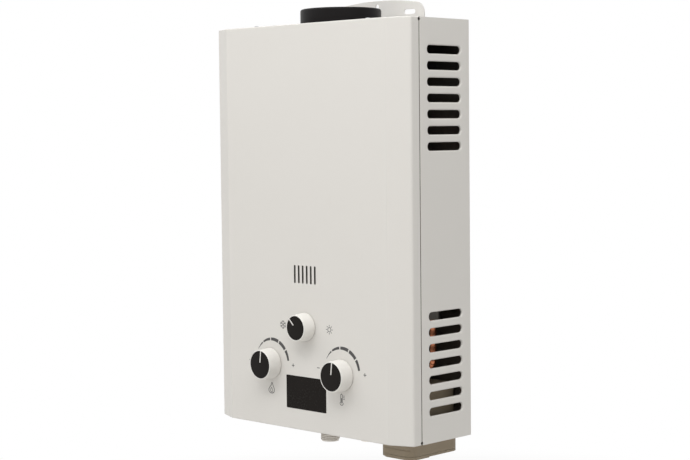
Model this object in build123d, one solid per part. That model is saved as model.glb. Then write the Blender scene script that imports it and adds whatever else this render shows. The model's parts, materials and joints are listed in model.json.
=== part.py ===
"""Wall-hung tankless gas water heater, flue type, as an assembly of separate pieces.

Units are millimetres. The row frame has +X to the right seen from the front, +Y into the wall, +Z up.
Its origin lies on the wall, midway between the two screw slots of the hanging bracket.
Places inside the heater are given on the bench: x from the middle of the case, y back from the flat
front, z up from the bottom of the case. The function bench() turns them into the row frame.
"""
import os

from build123d import *

# Case
case_width = 290.0
case_height = 434.0
case_depth = 102.0
sheet = 0.8
bend_radius = 3.0
edge_radius = 1.2
fold_radius = 1.2
panel_fit = 0.2

# Front cover
facet_width = 25.0
facet_depth = 10.5
cover_depth = 22.0
seam = 0.9
casing_return = 7.0
relief_radius = 1.4
relief_rise = 1.0
top_tongue_half = 96.0
bottom_tongue_half = 78.0
tongue_reach = 14.0
top_screw_x = 84.0
bottom_screw_x = 66.0
cover_screw_inset = 13.0
cover_screw_radius = 2.0
cover_screw_head_radius = 3.8
cover_screw_head = 2.0
cover_screw_length = 9.0
screw_clearance = 0.15

# Slots in the sides and in the front
side_slot_length = 52.0
side_slot_height = 8.6
side_slot_corner = 4.0
side_slot_pitch = 16.4
side_slot_count = 7
side_slot_margin = 32.0
side_slot_setback = 40.8
view_slot_width = 2.5
view_slot_length = 19.5
view_slot_pitch = 6.1
view_slot_count = 6
view_slot_z = 168.0

# Display
window_width = 60.6
window_height = 35.8
window_corner = 1.2
window_z = 40.3
window_fit = 0.3
window_proud = 0.2
lens_flange = 2.8
lens_flange_thickness = 1.4
display_frame_wall = 2.0
display_frame_depth = 8.0
board_thickness = 1.6
display_module = 4.8

# Wall brackets
wall_gap = 16.0
bracket_sheet = 1.5
bracket_bend = 2.5
bracket_width = 138.0
bracket_leg = 46.0
bracket_shelf_drop = 10.0
bracket_rise = 28.9
bracket_arch = 5.8
bracket_corner = 12.0
wall_slot_rise = 14.7
wall_slot_spacing = 96.0
wall_slot_length = 16.6
wall_slot_width = 5.2
keyhole_radius = 5.5
keyhole_neck = 5.0
keyhole_reach = 10.5
foot_leg = 30.0
foot_shelf_rise = 12.0
foot_drop = 15.0
foot_slot_drop = 6.0

# Flue
collar_y = 59.0
collar_radius = 43.7
collar_bore = 39.6
collar_height = 17.0
collar_lip = 1.4
collar_spigot_radius = 40.6
collar_spigot = 10.0
collar_hole_clearance = 0.5
neck_clearance = 0.1
neck_length = 26.0
hood_wall = 1.0
hood_top = 82.0

# Combustion chamber and heat exchanger
chamber_width = 168.0
chamber_depth = 60.0
chamber_y = 52.0
chamber_bottom = 165.0
chamber_top = 342.0
chamber_wall = 1.0
tube_radius = 6.0
tube_fit = 0.1
pass_pitch = 18.0
pass_z = 318.0
u_bend_reach = 13.0
u_bend_radius = 8.9
fin_height = 38.0
fin_length = 156.0
fin_pitch = 8.0
fin_gap = 5.0
fin_cut = 11.0
fin_fit = 0.4
riser_wall = 29.0
riser_bend = 20.0
riser_straight = 20.0
riser_lean = 16.0
inlet_bend = 12.0
union_z = 131.0
outlet_bend = 18.0
outlet_union_z = 243.0
nut_flats = 19.0
nut_length = 16.0
bracket_foot = 12.0
chamber_bracket_height = 20.0
chamber_bracket_x = 66.0
chamber_bracket_low = 190.0
chamber_bracket_high = 280.0

# Burner
blade_count = 8
blade_pitch = 20.0
blade_thickness = 8.0
blade_top = 150.0
blade_bottom = 104.0
blade_front = 34.0
blade_back = 78.0
blade_mouth_z = 113.0
blade_mouth_radius = 5.0
blade_mouth_length = 4.0
blade_lip = 2.0
port_count = 5
port_width = 2.0
port_depth = 3.0
port_pitch = 8.0
burner_rail_height = 12.0
burner_rail_thickness = 1.2
burner_rail_z = 132.0
end_plate_lap = 12.0

# Gas manifold
manifold_front = 9.0
manifold_depth = 13.0
manifold_height = 14.0
manifold_half = 80.0
manifold_corner = 2.5
nozzle_flats = 7.0
nozzle_length = 7.0
manifold_lug = 10.0

# Knobs
knob_gap = 0.6
knob_rim = 1.0
knob_chamfer = 0.5
disc_depth = 1.2
disc_fit = 0.08
pointer_width = 1.3
pointer_start = 1.5
season_x = 0.0
season_z = 112.2
season_disc_radius = 12.9
season_base_radius = 15.3
season_height = 15.3
season_pointer = -45.0
flame_x = -54.5
flame_z = 68.2
water_x = 53.7
water_z = 65.5
regulator_disc_radius = 15.0
regulator_base_radius = 16.8
regulator_height = 16.7
regulator_pointer = 6.0
spindle_radius = 3.0
spindle_seat = 8.0
spindle_flat = 1.0
spindle_engage = 11.0
spindle_fit = 0.05
knob_bore_fit = 0.03
spindle_hole_clearance = 2.0

# Valves
link_y = 45.0
gas_valve_left = -72.0
gas_valve_right = 6.0
gas_valve_front = 20.0
gas_valve_back = 66.0
gas_valve_low = 44.0
gas_valve_high = 90.0
gas_valve_round = 4.0
valve_boss_radius = 10.0
valve_boss_length = 8.0
gas_inlet_x = -9.0
gas_inlet_reach = 17.6
gas_outlet_x = -22.0
gas_outlet_y = 15.5
gas_outlet_radius = 7.0
flange_width = 34.0
flange_depth = 14.0
flange_thickness = 3.0
gasket_thickness = 1.0
gasket_land = 2.0
solenoid_radius = 13.0
solenoid_length = 27.0
solenoid_cap_radius = 9.0
solenoid_cap_length = 4.0
link_boss_radius = 8.0
link_boss_length = 4.0
rod_radius = 2.5
rod_collar_radius = 5.5
rod_collar_left = 17.5
rod_collar_width = 2.5
rod_depth = 14.0
rod_travel = 4.0
membrane_left = 38.0
membrane_thickness = 1.5
membrane_radius = 32.0
membrane_cover_thickness = 10.0
membrane_cavity_radius = 24.0
membrane_cavity = 7.0
membrane_plate_radius = 20.0
membrane_plate_thickness = 2.0
membrane_gap = 0.3
water_half_thickness = 12.0
water_block_right = 74.0
water_block_front = 20.0
water_block_back = 78.0
water_block_low = 46.0
water_block_high = 84.0
water_block_round = 3.0
cold_inlet_x = 50.2
cold_inlet_y = 45.0
cold_inlet_reach = 10.0
cold_outlet_z = 68.0
cold_outlet_boss = 2.0
cold_bend = 14.0
hot_outlet_x = -110.0
hot_outlet_y = 50.0
hot_outlet_reach = 10.0
hot_outlet_socket = 10.0
thread_radius = 10.478
thread_runout = 0.5
nipple_neck_radius = 9.0
nipple_bore = 7.0
nipple_bore_depth = 24.0
nipple_hex_flats = 26.0
nipple_hex_height = 10.0
nipple_hole_clearance = 0.8
relief_x = 65.0
relief_y = 62.0
relief_flats = 14.0
relief_height = 8.0

# Micro-switch beside the push rod
switch_left = 9.0
switch_right = 26.0
switch_width = 6.4
switch_low = 86.0
switch_high = 95.0
switch_lug = 3.0
switch_gap = 0.3
switch_ear = 1.2
lever_x = 16.4
lever_pivot_z = 82.5
lever_thickness = 1.2
lever_tip_z = 68.4
lever_barrel_radius = 1.6
lever_pin_radius = 0.75
lever_pin_fit = 0.05

# Electrics
igniter_width = 60.0
igniter_height = 66.0
igniter_depth = 26.0
igniter_left_gap = 7.0
igniter_z = 40.0
igniter_round = 3.0
electrode_z = 157.0
electrode_x = 24.0
sensor_x = 48.0
electrode_radius = 2.6
electrode_wire = 0.8
electrode_front = 24.0
electrode_back = 40.0
electrode_tip = 52.0
electrode_plate = 1.2
stat_radius = 8.0
stat_height = 8.0
overheat_stat_z = 290.0
flue_stat_x = 40.0
stat_clip = 1.0

# Battery box for two standing cells
cell_radius = 16.6
cell_length = 60.5
cell_nub_radius = 4.5
cell_nub = 1.5
cell_gap = 1.8
cell_end_gap = 0.15
cell_side_gap = 2.9
box_wall = 2.0
box_side_gap = 18.0
box_front = 26.5
box_corner_share = 0.54
box_drop = 15.5
box_top = 54.0
box_skirt = 1.8
box_fit = 0.4
box_catch = 1.2
box_catch_width = 14.0
box_catch_height = 6.0
lid_thickness = 2.4
lid_gap = 0.3
lid_grip_length = 28.0
lid_grip = 1.4
grip_groove_count = 3
grip_groove = 0.8
lid_tongue_width = 4.0
lid_tongue_height = 6.0
lid_tongue_thickness = 1.4
lid_tongue_gap = 0.6
hinge_radius = 2.0
hinge_pin_radius = 1.0
hinge_fit = 0.05
hinge_inset = 1.6
hinge_knuckle = 9.0
hinge_spread = 9.3
contact_thickness = 0.5
contact_width = 9.0
contact_gap = 0.1

# Places worked out from the sizes above
half_width = case_width / 2
wall_y = case_depth + wall_gap
origin_z = case_height + wall_slot_rise
panel_front = cover_depth + seam + sheet + panel_fit
panel_back = case_depth - sheet - panel_fit
panel_half = half_width - sheet - panel_fit
chamber_front = chamber_y - chamber_depth / 2
chamber_back = chamber_y + chamber_depth / 2
chamber_half = chamber_width / 2
first_pass_y = chamber_y + pass_pitch
last_pass_y = chamber_y - pass_pitch
riser_x = half_width - riser_wall
manifold_low = season_z - manifold_height / 2
manifold_back = manifold_front + manifold_depth
neck_radius = collar_bore - neck_clearance
neck_top = case_height - collar_spigot + neck_length / 2
neck_low = case_height - collar_spigot - neck_length / 2
cell_spacing = 2 * cell_radius + cell_gap
box_width = 2 * (cell_radius + cell_side_gap + box_wall)
box_length = 4 * cell_radius + cell_gap + 2 * (cell_end_gap + box_wall)
box_corner = box_corner_share * cell_radius
box_right = half_width - box_side_gap
box_x = box_right - box_width / 2
box_y = box_front + box_length / 2
box_back = box_front + box_length
skirt_back = box_back + box_skirt
hinge_y = skirt_back - hinge_inset
hinge_z = -box_drop - lid_gap - lid_thickness / 2
lid_low = -box_drop - lid_gap - lid_thickness
lid_tongue_x = box_width / 2 - box_corner - lid_tongue_width / 2
rod_end = gas_valve_right + link_boss_length - rod_depth


def bench(x, y, z):
    """A place on the bench, turned into the row frame."""
    return (x, y - wall_y, z - origin_z)


def block(x0, x1, y0, y1, z0, z1):
    """A box between two corners on the bench."""
    middle = bench((x0 + x1) / 2, (y0 + y1) / 2, (z0 + z1) / 2)
    return Pos(*middle) * Box(x1 - x0, y1 - y0, z1 - z0)


def upright(x, y, z0, z1, radius):
    """A cylinder along Z between two heights."""
    return Pos(*bench(x, y, (z0 + z1) / 2)) * Cylinder(radius, z1 - z0)


def lengthwise(x, z, y0, y1, radius):
    """A cylinder along Y between two depths."""
    return Pos(*bench(x, (y0 + y1) / 2, z)) * Rot(90, 0, 0) * Cylinder(radius, y1 - y0)


def crosswise(y, z, x0, x1, radius):
    """A cylinder along X between two sides."""
    return Pos(*bench((x0 + x1) / 2, y, z)) * Rot(0, 90, 0) * Cylinder(radius, x1 - x0)


def hexagon(flats, length):
    """A hexagonal bar along Z, centred."""
    outline = RegularPolygon(flats / 2, 6, major_radius=False)
    return Pos(0, 0, -length / 2) * extrude(outline, length)


def upright_hexagon(x, y, z0, z1, flats):
    """A hexagonal bar along Z between two heights."""
    return Pos(*bench(x, y, (z0 + z1) / 2)) * hexagon(flats, z1 - z0)


def turned(profile, x, y, z):
    """A body turned about Z from a profile of (radius, height) points."""
    face = make_face(Polyline(*[(r, 0, h) for r, h in profile], close=True))
    return Pos(*bench(x, y, z)) * revolve(face, Axis.Z)


def tube(points, radii):
    """A copper tube along straight runs joined by tangent bends."""
    route = FilletPolyline(*[bench(*point) for point in points], radius=radii)
    start = Plane(origin=route @ 0, z_dir=route % 0)
    return sweep(start * Circle(tube_radius), path=route)


def wall_bracket(x, z0, z1, y0, y1, side):
    """A bent strip that carries a piece off the back panel: a foot on each and a web between them."""
    corners = [
        (x - side * bracket_foot, y0),
        (x, y0),
        (x, y1 - bracket_sheet),
        (x + side * bracket_foot, y1 - bracket_sheet),
    ]
    line = FilletPolyline(*corners, radius=bracket_bend)
    strip = make_face(offset(line, bracket_sheet, side=Side.LEFT if side > 0 else Side.RIGHT))
    return Pos(0, -wall_y, z0 - origin_z) * extrude(strip, z1 - z0)


def cover_outline(back):
    """The front cover seen from above: flat front, a facet at each side, then the return flanges."""
    corners = [
        (-half_width, back),
        (-half_width, facet_depth),
        (-half_width + facet_width, 0),
        (half_width - facet_width, 0),
        (half_width, facet_depth),
        (half_width, back),
    ]
    face = make_face(Polyline(*corners, close=True))
    bends = [v for v in face.vertices() if v.Y < facet_depth + sheet]
    return fillet(bends, bend_radius)


def view_slot_places():
    """The middle of each upright view slot, across the front."""
    first = -view_slot_pitch * (view_slot_count - 1) / 2
    return [first + i * view_slot_pitch for i in range(view_slot_count)]


def cover_screw_places():
    """The screws that hold the cover, two above and two below: x and which way is out."""
    return [(side * x, up) for side in (-1, 1) for x, up in ((top_screw_x, 1), (bottom_screw_x, -1))]


def cover_screw_hole(x, up):
    """The hole for one cover screw through the cover's flange and the panel's tongue."""
    edge = case_height if up > 0 else 0
    reach = 2 * cover_screw_length
    return upright(x, cover_screw_inset, edge - reach, edge + reach, cover_screw_radius + screw_clearance)


def window_pane(y0, y1, fit):
    """A plate in the display's cut-out between two depths, smaller all round by a fit."""
    half_w = window_width / 2 - fit
    half_h = window_height / 2 - fit
    pane = block(-half_w, half_w, y0, y1, window_z - half_h, window_z + half_h)
    return fillet(pane.edges().filter_by(Axis.Y), window_corner - fit)


def make_front_cover():
    body = extrude(cover_outline(cover_depth), case_height)
    rims = [e for e in body.edges() if abs(e.center().Z - case_height / 2) > case_height / 2 - sheet]
    rims = [e for e in rims if e.center().Y < cover_depth - sheet]
    body = fillet(rims, edge_radius)
    hollow = extrude(offset(cover_outline(2 * cover_depth), -sheet), case_height - 2 * sheet)
    body -= Pos(0, 0, sheet) * hollow
    body = Pos(*bench(0, 0, 0)) * body
    slot = Rot(90, 0, 0) * Rot(0, 0, 90) * SlotOverall(view_slot_length, view_slot_width)
    for x in view_slot_places():
        body -= Pos(*bench(x, 0, view_slot_z)) * extrude(slot, facet_depth, both=True)
    body -= window_pane(-facet_depth, facet_depth, 0)
    for x, z in ((season_x, season_z), (flame_x, flame_z), (water_x, water_z)):
        body -= lengthwise(x, z, -facet_depth, facet_depth, spindle_radius + spindle_hole_clearance)
    for place in cover_screw_places():
        body -= cover_screw_hole(*place)
    return body - spigot_hole()


def side_slot_heights():
    """The middle height of every slot in a side: one group from the bottom, one from the top."""
    low = [side_slot_margin + i * side_slot_pitch for i in range(side_slot_count)]
    return low + [case_height - z for z in low]


def make_rear_casing():
    front = cover_depth + seam
    outline = Pos(0, (front + case_depth) / 2) * Rectangle(case_width, case_depth - front)
    corners = [v for v in outline.vertices() if v.Y > case_depth - sheet]
    outline = fillet(corners, bend_radius)
    folds = [v for v in outline.vertices() if v.Y < front + sheet]
    outline = fillet(folds, fold_radius)
    opening = Pos(0, front) * Rectangle(case_width - 2 * casing_return, 4 * sheet)
    strip = outline - offset(outline, -sheet) - opening
    body = Pos(*bench(0, 0, 0)) * extrude(strip, case_height)
    outline = RectangleRounded(side_slot_length, side_slot_height, side_slot_corner)
    slot = Rot(0, 90, 0) * Rot(0, 0, 90) * outline
    for z in side_slot_heights():
        place = Pos(*bench(0, case_depth - side_slot_setback, z))
        body -= place * extrude(slot, case_width, both=True)
    for z in (relief_rise, case_height - relief_rise):
        body -= crosswise(front, z, -case_width, case_width, relief_radius)
    return body


def make_end_panel(up):
    """The top panel (up is 1) or bottom panel (up is -1): a plate with a joggled tongue for the cover."""
    outer = case_height if up > 0 else 0
    inner = outer - up * sheet
    step = inner - up * (sheet + panel_fit)
    half = top_tongue_half if up > 0 else bottom_tongue_half
    plate = block(-panel_half, panel_half, panel_front, panel_back, min(outer, inner), max(outer, inner))
    riser = block(-half, half, panel_front, panel_front + sheet, min(outer, step), max(outer, step))
    low = min(step, step + up * sheet)
    tongue = block(-half, half, panel_front - tongue_reach, panel_front + sheet, low, low + sheet)
    corners = [e for e in plate.edges().filter_by(Axis.Z) if e.center().Y > panel_back - wall_y - sheet]
    body = fillet(corners, bend_radius) + riser + tongue
    for x, way in cover_screw_places():
        if way == up:
            body -= cover_screw_hole(x, way)
    return body


def spigot_hole():
    """The round opening that the flue collar's spigot drops through."""
    radius = collar_spigot_radius + collar_hole_clearance
    return upright(0, collar_y, case_height - collar_spigot, case_height + collar_spigot, radius)


def make_top_panel():
    return make_end_panel(1) - spigot_hole()


def nipple_places():
    """Where the three threaded nipples pass the bottom panel."""
    return [
        (gas_inlet_x, link_y),
        (cold_inlet_x, cold_inlet_y),
        (hot_outlet_x, hot_outlet_y),
    ]


def box_outline(grow):
    """The battery box seen from below, grown or shrunk by a margin."""
    return RectangleRounded(box_width + 2 * grow, box_length + 2 * grow, box_corner + grow)


def battery_box_hole():
    """The opening in the case's bottom that the battery box drops through."""
    return Pos(*bench(box_x, box_y, 0)) * extrude(box_outline(box_fit), box_catch_height, both=True)


def make_bottom_panel():
    body = make_end_panel(-1)
    for x, y in nipple_places():
        body -= upright(x, y, -box_drop, box_drop, thread_radius + nipple_hole_clearance)
    return body - battery_box_hole()


def make_cover_screws():
    """Four screws with plain heads, each a separate solid."""
    screws = []
    for x, up in cover_screw_places():
        edge = case_height if up > 0 else 0
        profile = [
            (0, cover_screw_head),
            (cover_screw_head_radius, cover_screw_head),
            (cover_screw_head_radius, 0),
            (cover_screw_radius, 0),
            (cover_screw_radius, -cover_screw_length),
            (0, -cover_screw_length),
        ]
        screws.append(turned([(r, up * h) for r, h in profile], x, cover_screw_inset, edge))
    return Compound(children=screws)


def bent_plate(line, width):
    """A bracket's sheet, bent along a line of (y, z) points and as wide as given."""
    path = FilletPolyline(*line, radius=bracket_bend)
    strip = make_face(offset(path, bracket_sheet, side=Side.RIGHT))
    face = Plane.YZ * strip
    return Pos(*bench(0, 0, 0)) * extrude(face, width / 2, both=True)


def wall_slot(x, z):
    """One screw slot through the bracket, on its nominal place."""
    slot = Rot(90, 0, 0) * SlotOverall(wall_slot_length, wall_slot_width)
    return Pos(*bench(x, wall_y, z)) * extrude(slot, wall_gap / 2, both=True)


def make_hanging_bracket():
    shelf = case_height - bracket_shelf_drop
    top = case_height + bracket_rise
    line = [
        (case_depth, shelf - bracket_leg),
        (case_depth, shelf),
        (wall_y - bracket_sheet, shelf),
        (wall_y - bracket_sheet, top),
    ]
    body = bent_plate(line, bracket_width)
    half = bracket_width / 2
    shoulder = top - bracket_arch
    low = shelf - bracket_leg
    sides = Polyline((half, shoulder), (half, low), (-half, low), (-half, shoulder))
    arch = ThreePointArc((-half, shoulder), (0, top), (half, shoulder))
    outline = make_face([sides, arch])
    ends = [v for v in outline.vertices() if v.Y > low + bracket_bend]
    outline = fillet(ends, bracket_corner)
    stamp = extrude(Rot(90, 0, 0) * outline, case_depth, both=True)
    body = body & Pos(*bench(0, case_depth, 0)) * stamp
    for x in (-wall_slot_spacing / 2, wall_slot_spacing / 2):
        body -= wall_slot(x, case_height + wall_slot_rise)
    z = case_height + wall_slot_rise
    reach = wall_gap / 2
    body -= lengthwise(0, z, wall_y - reach, wall_y + reach, keyhole_radius)
    half_neck = keyhole_neck / 2
    body -= block(-half_neck, half_neck, wall_y - reach, wall_y + reach, z, z + keyhole_reach - half_neck)
    body -= lengthwise(0, z + keyhole_reach - half_neck, wall_y - reach, wall_y + reach, half_neck)
    return body


def make_foot_bracket():
    line = [
        (wall_y - bracket_sheet, -foot_drop),
        (wall_y - bracket_sheet, foot_shelf_rise),
        (case_depth, foot_shelf_rise),
        (case_depth, foot_shelf_rise + foot_leg),
    ]
    body = bent_plate(line, bracket_width)
    for x in (-wall_slot_spacing / 2, wall_slot_spacing / 2):
        body -= wall_slot(x, -foot_slot_drop)
    return body


def make_flue_collar():
    profile = [
        (collar_bore, -collar_spigot),
        (collar_bore, collar_height - collar_lip / 2),
        (collar_bore + collar_lip / 2, collar_height),
        (collar_radius - collar_lip, collar_height),
        (collar_radius, collar_height - collar_lip),
        (collar_radius, 0),
        (collar_spigot_radius, 0),
        (collar_spigot_radius, -collar_spigot),
    ]
    return turned(profile, 0, collar_y, case_height)


def hood_form(inset):
    """The hood's leaning pyramid: its outline seen from the front meets its outline seen from the side."""
    low_half = chamber_half - inset
    top_half = hood_top / 2 - inset
    high = neck_low - inset
    corners = [(-low_half, chamber_top), (low_half, chamber_top), (top_half, high), (-top_half, high)]
    front = Rot(90, 0, 0) * make_face(Polyline(*corners, close=True))
    corners = [
        (chamber_front + inset, chamber_top),
        (chamber_back - inset, chamber_top),
        (collar_y + top_half, high),
        (collar_y - top_half, high),
    ]
    side = Plane.YZ * make_face(Polyline(*corners, close=True))
    form = extrude(front, case_depth, both=True) & extrude(side, half_width, both=True)
    return Pos(*bench(0, 0, 0)) * form


def make_flue_hood():
    """A folded sheet hood from the chamber's mouth to a flat top, with the neck for the collar."""
    neck = upright(0, collar_y, neck_low, neck_top, neck_radius)
    bore = upright(0, collar_y, neck_low - hood_wall, neck_top, neck_radius - hood_wall)
    return hood_form(0) - hood_form(hood_wall) + neck - bore


def pass_places():
    """The depth of each tube pass through the fins."""
    return [chamber_y - pass_pitch, chamber_y, chamber_y + pass_pitch]


def make_chamber_shell():
    outer = block(-chamber_half, chamber_half, chamber_front, chamber_back, chamber_bottom, chamber_top)
    inner = block(
        -chamber_half + chamber_wall,
        chamber_half - chamber_wall,
        chamber_front + chamber_wall,
        chamber_back - chamber_wall,
        chamber_bottom - chamber_wall,
        chamber_top + chamber_wall,
    )
    body = outer - inner
    for y in pass_places():
        body -= crosswise(y, pass_z, -case_width, case_width, tube_radius + tube_fit)
    return body


def make_fin_pack():
    """The finned block round the tube passes, combed above and below them."""
    half = fin_length / 2
    depth = chamber_depth / 2 - chamber_wall - fin_fit
    low = pass_z - fin_height / 2
    high = pass_z + fin_height / 2
    body = block(-half, half, chamber_y - depth, chamber_y + depth, low, high)
    for y in pass_places():
        body -= crosswise(y, pass_z, -case_width, case_width, tube_radius + tube_fit)
    count = int((fin_length - fin_pitch + fin_gap) / fin_pitch)
    first = -(count - 1) * fin_pitch / 2
    for i in range(count):
        x0 = first + i * fin_pitch - fin_gap / 2
        x1 = x0 + fin_gap
        body -= block(x0, x1, 0, case_depth, low - fin_cut, low + fin_cut)
        body -= block(x0, x1, 0, case_depth, high - fin_cut, high + fin_cut)
    return body


def make_exchanger_tube():
    """One copper tube: leaning up the right side, three passes through the fins, out on the left."""
    end = chamber_half + u_bend_reach
    points = [
        (riser_x, first_pass_y, union_z),
        (riser_x, first_pass_y, union_z + riser_straight),
        (riser_x - riser_lean, first_pass_y, pass_z),
        (-end, first_pass_y, pass_z),
        (-end, chamber_y, pass_z),
        (end, chamber_y, pass_z),
        (end, last_pass_y, pass_z),
        (hot_outlet_x, last_pass_y, pass_z),
        (hot_outlet_x, last_pass_y, outlet_union_z),
    ]
    radii = [riser_bend, inlet_bend] + [u_bend_radius] * 4 + [outlet_bend]
    return tube(points, radii)


def make_cold_pipe():
    points = [
        (water_block_right + cold_outlet_boss, first_pass_y, cold_outlet_z),
        (riser_x, first_pass_y, cold_outlet_z),
        (riser_x, first_pass_y, union_z),
    ]
    return tube(points, [cold_bend])


def make_hot_pipe():
    points = [
        (hot_outlet_x, last_pass_y, outlet_union_z),
        (hot_outlet_x, last_pass_y, union_z),
        (hot_outlet_x, hot_outlet_y, union_z - 2 * riser_bend),
        (hot_outlet_x, hot_outlet_y, sheet + nipple_hex_height),
    ]
    return tube(points, [riser_bend, riser_bend])


def make_pipe_nuts():
    """Three union nuts: at the water valve, between riser and exchanger, and on the hot pipe."""
    length = nut_length / 2
    bore = tube_radius + tube_fit
    start = water_block_right + cold_outlet_boss
    first = Pos(*bench(start + length, first_pass_y, cold_outlet_z)) * Rot(0, 90, 0)
    first = first * hexagon(nut_flats, nut_length)
    first -= crosswise(first_pass_y, cold_outlet_z, start - length, start + 3 * length, bore)
    nuts = [first]
    for x, y, z in ((riser_x, first_pass_y, union_z), (hot_outlet_x, last_pass_y, outlet_union_z)):
        nut = upright_hexagon(x, y, z - length, z + length, nut_flats)
        nuts.append(nut - upright(x, y, z - 2 * length, z + 2 * length, bore))
    return Compound(children=nuts)


def make_chamber_brackets():
    """Four bent strips that hang the chamber off the back panel."""
    strips = []
    for z in (chamber_bracket_low, chamber_bracket_high):
        for side in (-1, 1):
            x = side * chamber_bracket_x
            high = z + chamber_bracket_height
            strips.append(wall_bracket(x, z, high, chamber_back, case_depth - sheet, side))
    return Compound(children=strips)


def blade_places():
    """The middle of each burner blade across the chamber."""
    first = -blade_pitch * (blade_count - 1) / 2
    return [first + i * blade_pitch for i in range(blade_count)]


def make_burner_blade(x):
    """One pressed blade: venturi mouth at the front below, flame ports along the top."""
    throat = blade_mouth_radius + blade_lip
    corners = [
        (blade_front, blade_bottom),
        (blade_back, blade_bottom),
        (blade_back, blade_top),
        (blade_front, blade_top),
        (blade_front, blade_top - 2 * throat),
        (blade_front + throat, blade_mouth_z + throat),
        (blade_front, blade_mouth_z + throat / 2),
    ]
    face = Plane.YZ * make_face(Polyline(*corners, close=True))
    body = Pos(*bench(x, 0, 0)) * extrude(face, blade_thickness / 2, both=True)
    body += lengthwise(x, blade_mouth_z, blade_front - blade_mouth_length, blade_front, blade_mouth_radius)
    middle = (blade_front + blade_back) / 2
    first = middle - port_pitch * (port_count - 1) / 2
    for i in range(port_count):
        y = first + i * port_pitch
        half = blade_thickness / 2 - port_width / 2
        body -= block(x - half, x + half, y, y + port_width, blade_top - port_depth, blade_top + port_depth)
    return body


def make_burner_blades():
    return Compound(children=[make_burner_blade(x) for x in blade_places()])


def make_burner_frame():
    """Two rails and two end plates that carry the blades under the chamber."""
    high = burner_rail_z + burner_rail_height
    thick = burner_rail_thickness
    end = chamber_half + panel_fit
    front = block(-end, end, blade_front - thick, blade_front, burner_rail_z, high)
    back = block(-end, end, blade_back, blade_back + thick, burner_rail_z, high)
    body = front + back
    for side in (-1, 1):
        inner = side * end
        outer = side * (end + thick)
        plate = block(
            min(inner, outer),
            max(inner, outer),
            blade_front - thick,
            blade_back + thick,
            burner_rail_z,
            chamber_bottom + end_plate_lap,
        )
        body += plate
    return body


def make_gas_manifold():
    """The cast rail in front of the burner, with a socket below for the valve and a lug at each end."""
    outline = Rot(0, 90, 0) * RectangleRounded(manifold_height, manifold_depth, manifold_corner)
    middle = bench(0, manifold_front + manifold_depth / 2, season_z)
    body = Pos(*middle) * extrude(outline, manifold_half, both=True)
    drop = gas_valve_high + flange_thickness + gasket_thickness
    half = flange_width / 2
    y0 = gas_outlet_y - flange_depth / 2
    high = drop + flange_thickness
    flange = block(gas_outlet_x - half, gas_outlet_x + half, y0, y0 + flange_depth, drop, high)
    neck = upright(gas_outlet_x, gas_outlet_y, drop, season_z, gas_outlet_radius)
    body += flange + neck
    rail = blade_front - burner_rail_thickness
    for side in (-1, 1):
        x = side * (manifold_half - manifold_lug / 2)
        low = burner_rail_z
        post = block(
            x - manifold_lug / 2,
            x + manifold_lug / 2,
            manifold_back - manifold_corner,
            manifold_back,
            season_z,
            low + burner_rail_height,
        )
        arm = block(
            x - manifold_lug / 2,
            x + manifold_lug / 2,
            manifold_back - manifold_corner,
            rail,
            low + burner_rail_height - manifold_corner,
            low + burner_rail_height,
        )
        body += post + arm
    return body


def make_nozzles():
    """One brass nozzle in front of each blade."""
    nozzles = []
    for x in blade_places():
        y = manifold_back + nozzle_length / 2
        bar = Pos(*bench(x, y, blade_mouth_z)) * Rot(90, 0, 0) * hexagon(nozzle_flats, nozzle_length)
        nozzles.append(bar)
    return Compound(children=nozzles)


def make_season_valve():
    """The small turret on the manifold that shuts half of the burner in summer."""
    front = manifold_front - valve_boss_length / 2
    body = lengthwise(season_x, season_z, front, manifold_front, valve_boss_radius)
    shaft = spindle_radius + spindle_fit
    return body - lengthwise(season_x, season_z, 0, manifold_front, shaft)


def make_gas_valve():
    """The die-cast gas valve with its threaded inlet, spindle boss, outlet flange and link boss."""
    body = block(
        gas_valve_left,
        gas_valve_right,
        gas_valve_front,
        gas_valve_back,
        gas_valve_low,
        gas_valve_high,
    )
    body = fillet(body.edges().filter_by(Axis.X), gas_valve_round)
    front = gas_valve_front - valve_boss_length
    body += lengthwise(flame_x, flame_z, front, gas_valve_front, valve_boss_radius)
    shaft = spindle_radius + spindle_fit
    body -= lengthwise(flame_x, flame_z, 0, gas_valve_front + spindle_seat, shaft)
    body += nipple(gas_inlet_x, link_y, gas_inlet_reach, gas_valve_low + gas_valve_round)
    half = flange_width / 2
    y0 = gas_outlet_y - flange_depth / 2
    x0 = gas_outlet_x - half
    low = gas_valve_high - 2 * flange_thickness
    high = gas_valve_high + flange_thickness
    body += block(x0, x0 + flange_width, y0, gas_valve_back / 2, low, high)
    right = gas_valve_right + link_boss_length
    body += crosswise(link_y, water_z, gas_valve_right - switch_lug, right, link_boss_radius)
    body -= crosswise(link_y, water_z, right - 2 * rod_depth, right, rod_radius + spindle_fit)
    lug_front = link_y - switch_width / 2 - switch_gap - switch_lug
    body += block(
        gas_valve_right - switch_lug,
        switch_right,
        lug_front,
        lug_front + switch_lug,
        switch_low,
        switch_high,
    )
    return body


def nipple(x, y, reach, top):
    """A threaded nipple below the case with a hexagon that seats on the bottom panel."""
    body = upright(x, y, -reach, -thread_runout, thread_radius)
    body += upright_hexagon(x, y, sheet, sheet + nipple_hex_height, nipple_hex_flats)
    body += upright(x, y, -reach, top, nipple_neck_radius)
    return body - upright(x, y, -reach, -reach + nipple_bore_depth, nipple_bore)


def make_flange_gasket():
    half = flange_width / 2
    y0 = gas_outlet_y - flange_depth / 2
    low = gas_valve_high + flange_thickness
    high = low + gasket_thickness
    body = block(gas_outlet_x - half, gas_outlet_x + half, y0, y0 + flange_depth, low, high)
    return body - upright(gas_outlet_x, gas_outlet_y, low, high, gas_outlet_radius - gasket_land)


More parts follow.
